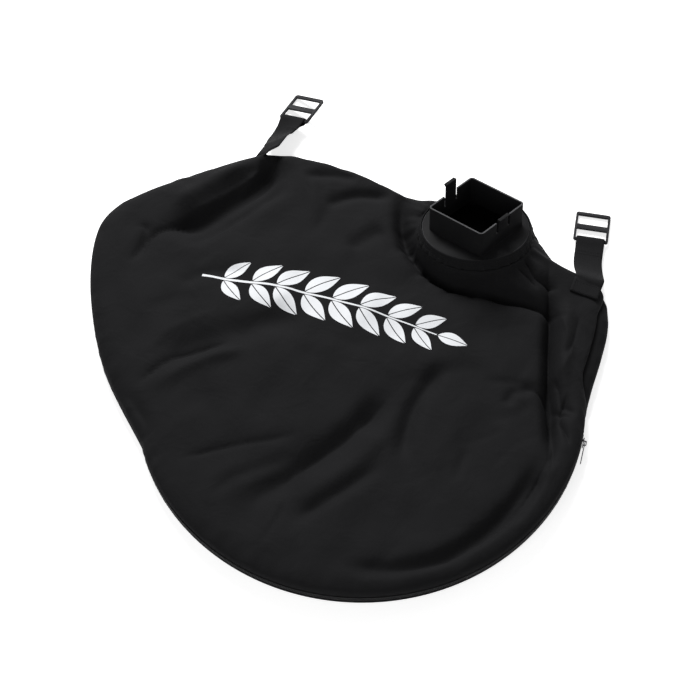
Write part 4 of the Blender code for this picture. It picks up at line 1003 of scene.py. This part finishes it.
def main():
    """Every piece of the bag, each with its material."""
    cloth, thread, webbing_cloth = woven_polyester(), sewing_thread(), woven_webbing()
    acetal = moulded_plastic("moulded_acetal", "#212123", "#29292b", 0.42, 0.06, 0.0005, 0.0001)
    metal = lacquered_zinc()
    front, surface = make_front_panel(cloth)
    back = make_back_panel(cloth)
    make_print(surface, screen_ink())
    make_tapes(woven_tape())
    make_teeth(nylon_coil())
    make_cuff(cloth, thread)
    make_hem_stitches(thread)
    make_right_strap(surface, webbing_cloth, thread)
    make_left_strap(surface, webbing_cloth, thread)
    collar = merged_copy("collar", moulded_plastic("moulded_abs", "#19191a", "#202021", 0.40, 0.02, 0.0006, 0.0001),
                         "bag", 0.0005)
    # the collar's rim and flange chamfer get a paler grey, a painted highlight
    paint_edge_highlight(collar, abs_painted_highlight())
    for node in ("buckle_right", "buckle_left"):
        merged_copy(node, acetal, node, 0.0007)
    merged_copy("zip_slider", metal, "slider", 0.00025)
    merged_copy("zip_pull", metal, "pull", 0.0002)
    for node in ("zip_top_stop_front", "zip_top_stop_back", "zip_bottom_stop"):
        merged_copy(node, metal, "bag", 0.0003)
    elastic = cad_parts["neck_elastic"].data.materials
    elastic.clear()
    elastic.append(braided_elastic())


def seen_directly(tree):
    """1 for rays from the camera, from gloss and through clear surfaces, and 0 for those that light the object."""
    path = add_node(tree, "LightPath")
    seen = path.outputs["Is Camera Ray"]
    for kind in ("Is Glossy Ray", "Is Transmission Ray"):
        seen = add_node(tree, "Math", {"operation": "MAXIMUM"}, {0: seen, 1: path.outputs[kind]}).outputs[0]
    return seen


def make_stage():
    """Pale floor, soft light and the camera of the photograph."""
    mesh = bpy.data.meshes.new("floor")
    mesh.from_pydata([(-6, -6, -0.0005), (6, -6, -0.0005), (6, 6, -0.0005), (-6, 6, -0.0005)], [], [(0, 1, 2, 3)])
    floor = add_object("floor", mesh)
    material, tree, shader, where = new_material(
        "studio_floor", {"Roughness": 0.9, "Specular IOR Level": 0.1, "Emission Color": srgb("#ffffff")})
    shade_by_noise(tree, shader, where.outputs["Object"], "#f4f4f4", "#f6f6f6", 2.0)
    glow = add_node(tree, "Math", {"operation": "MULTIPLY", 1: 0.7}, {0: seen_directly(tree)})
    tree.links.new(glow.outputs[0], shader.inputs["Emission Strength"])
    mesh.materials.append(material)

    world = bpy.data.worlds.new("studio")
    bpy.context.scene.world = world
    world.use_nodes = True
    tree = world.node_tree
    tree.nodes.clear()
    dim = add_node(tree, "Background", {"Color": srgb("#ffffff"), "Strength": 0.15})
    white = add_node(tree, "Background", {"Color": srgb("#ffffff"), "Strength": 1.0})
    mix = add_node(tree, "MixShader", None, {0: seen_directly(tree), 1: dim.outputs[0], 2: white.outputs[0]})
    add_node(tree, "OutputWorld", None, {"Surface": mix.outputs[0]})

    for name, place, size, power in LAMPS:
        lamp = bpy.data.lights.new(name, "AREA")
        lamp.size = size
        lamp.energy = power
        light = add_object(name, lamp)
        light.location = place
        light.rotation_mode = "QUATERNION"
        light.rotation_quaternion = (Vector(place) - LAMP_AIM).to_track_quat("Z", "Y")

    camera = bpy.data.cameras.new("camera")
    camera.lens = LENS
    camera.sensor_width = SENSOR
    eye = add_object("camera", camera)
    back = Vector((math.sin(AZIMUTH) * math.cos(ELEVATION), -math.cos(AZIMUTH) * math.cos(ELEVATION),
                   math.sin(ELEVATION)))
    eye.location = TARGET + back * DISTANCE
    eye.rotation_mode = "QUATERNION"
    eye.rotation_quaternion = back.to_track_quat("Z", "Y")
    bpy.context.scene.camera = eye
    bpy.context.scene.view_settings.view_transform = "Standard"


main()
make_stage()
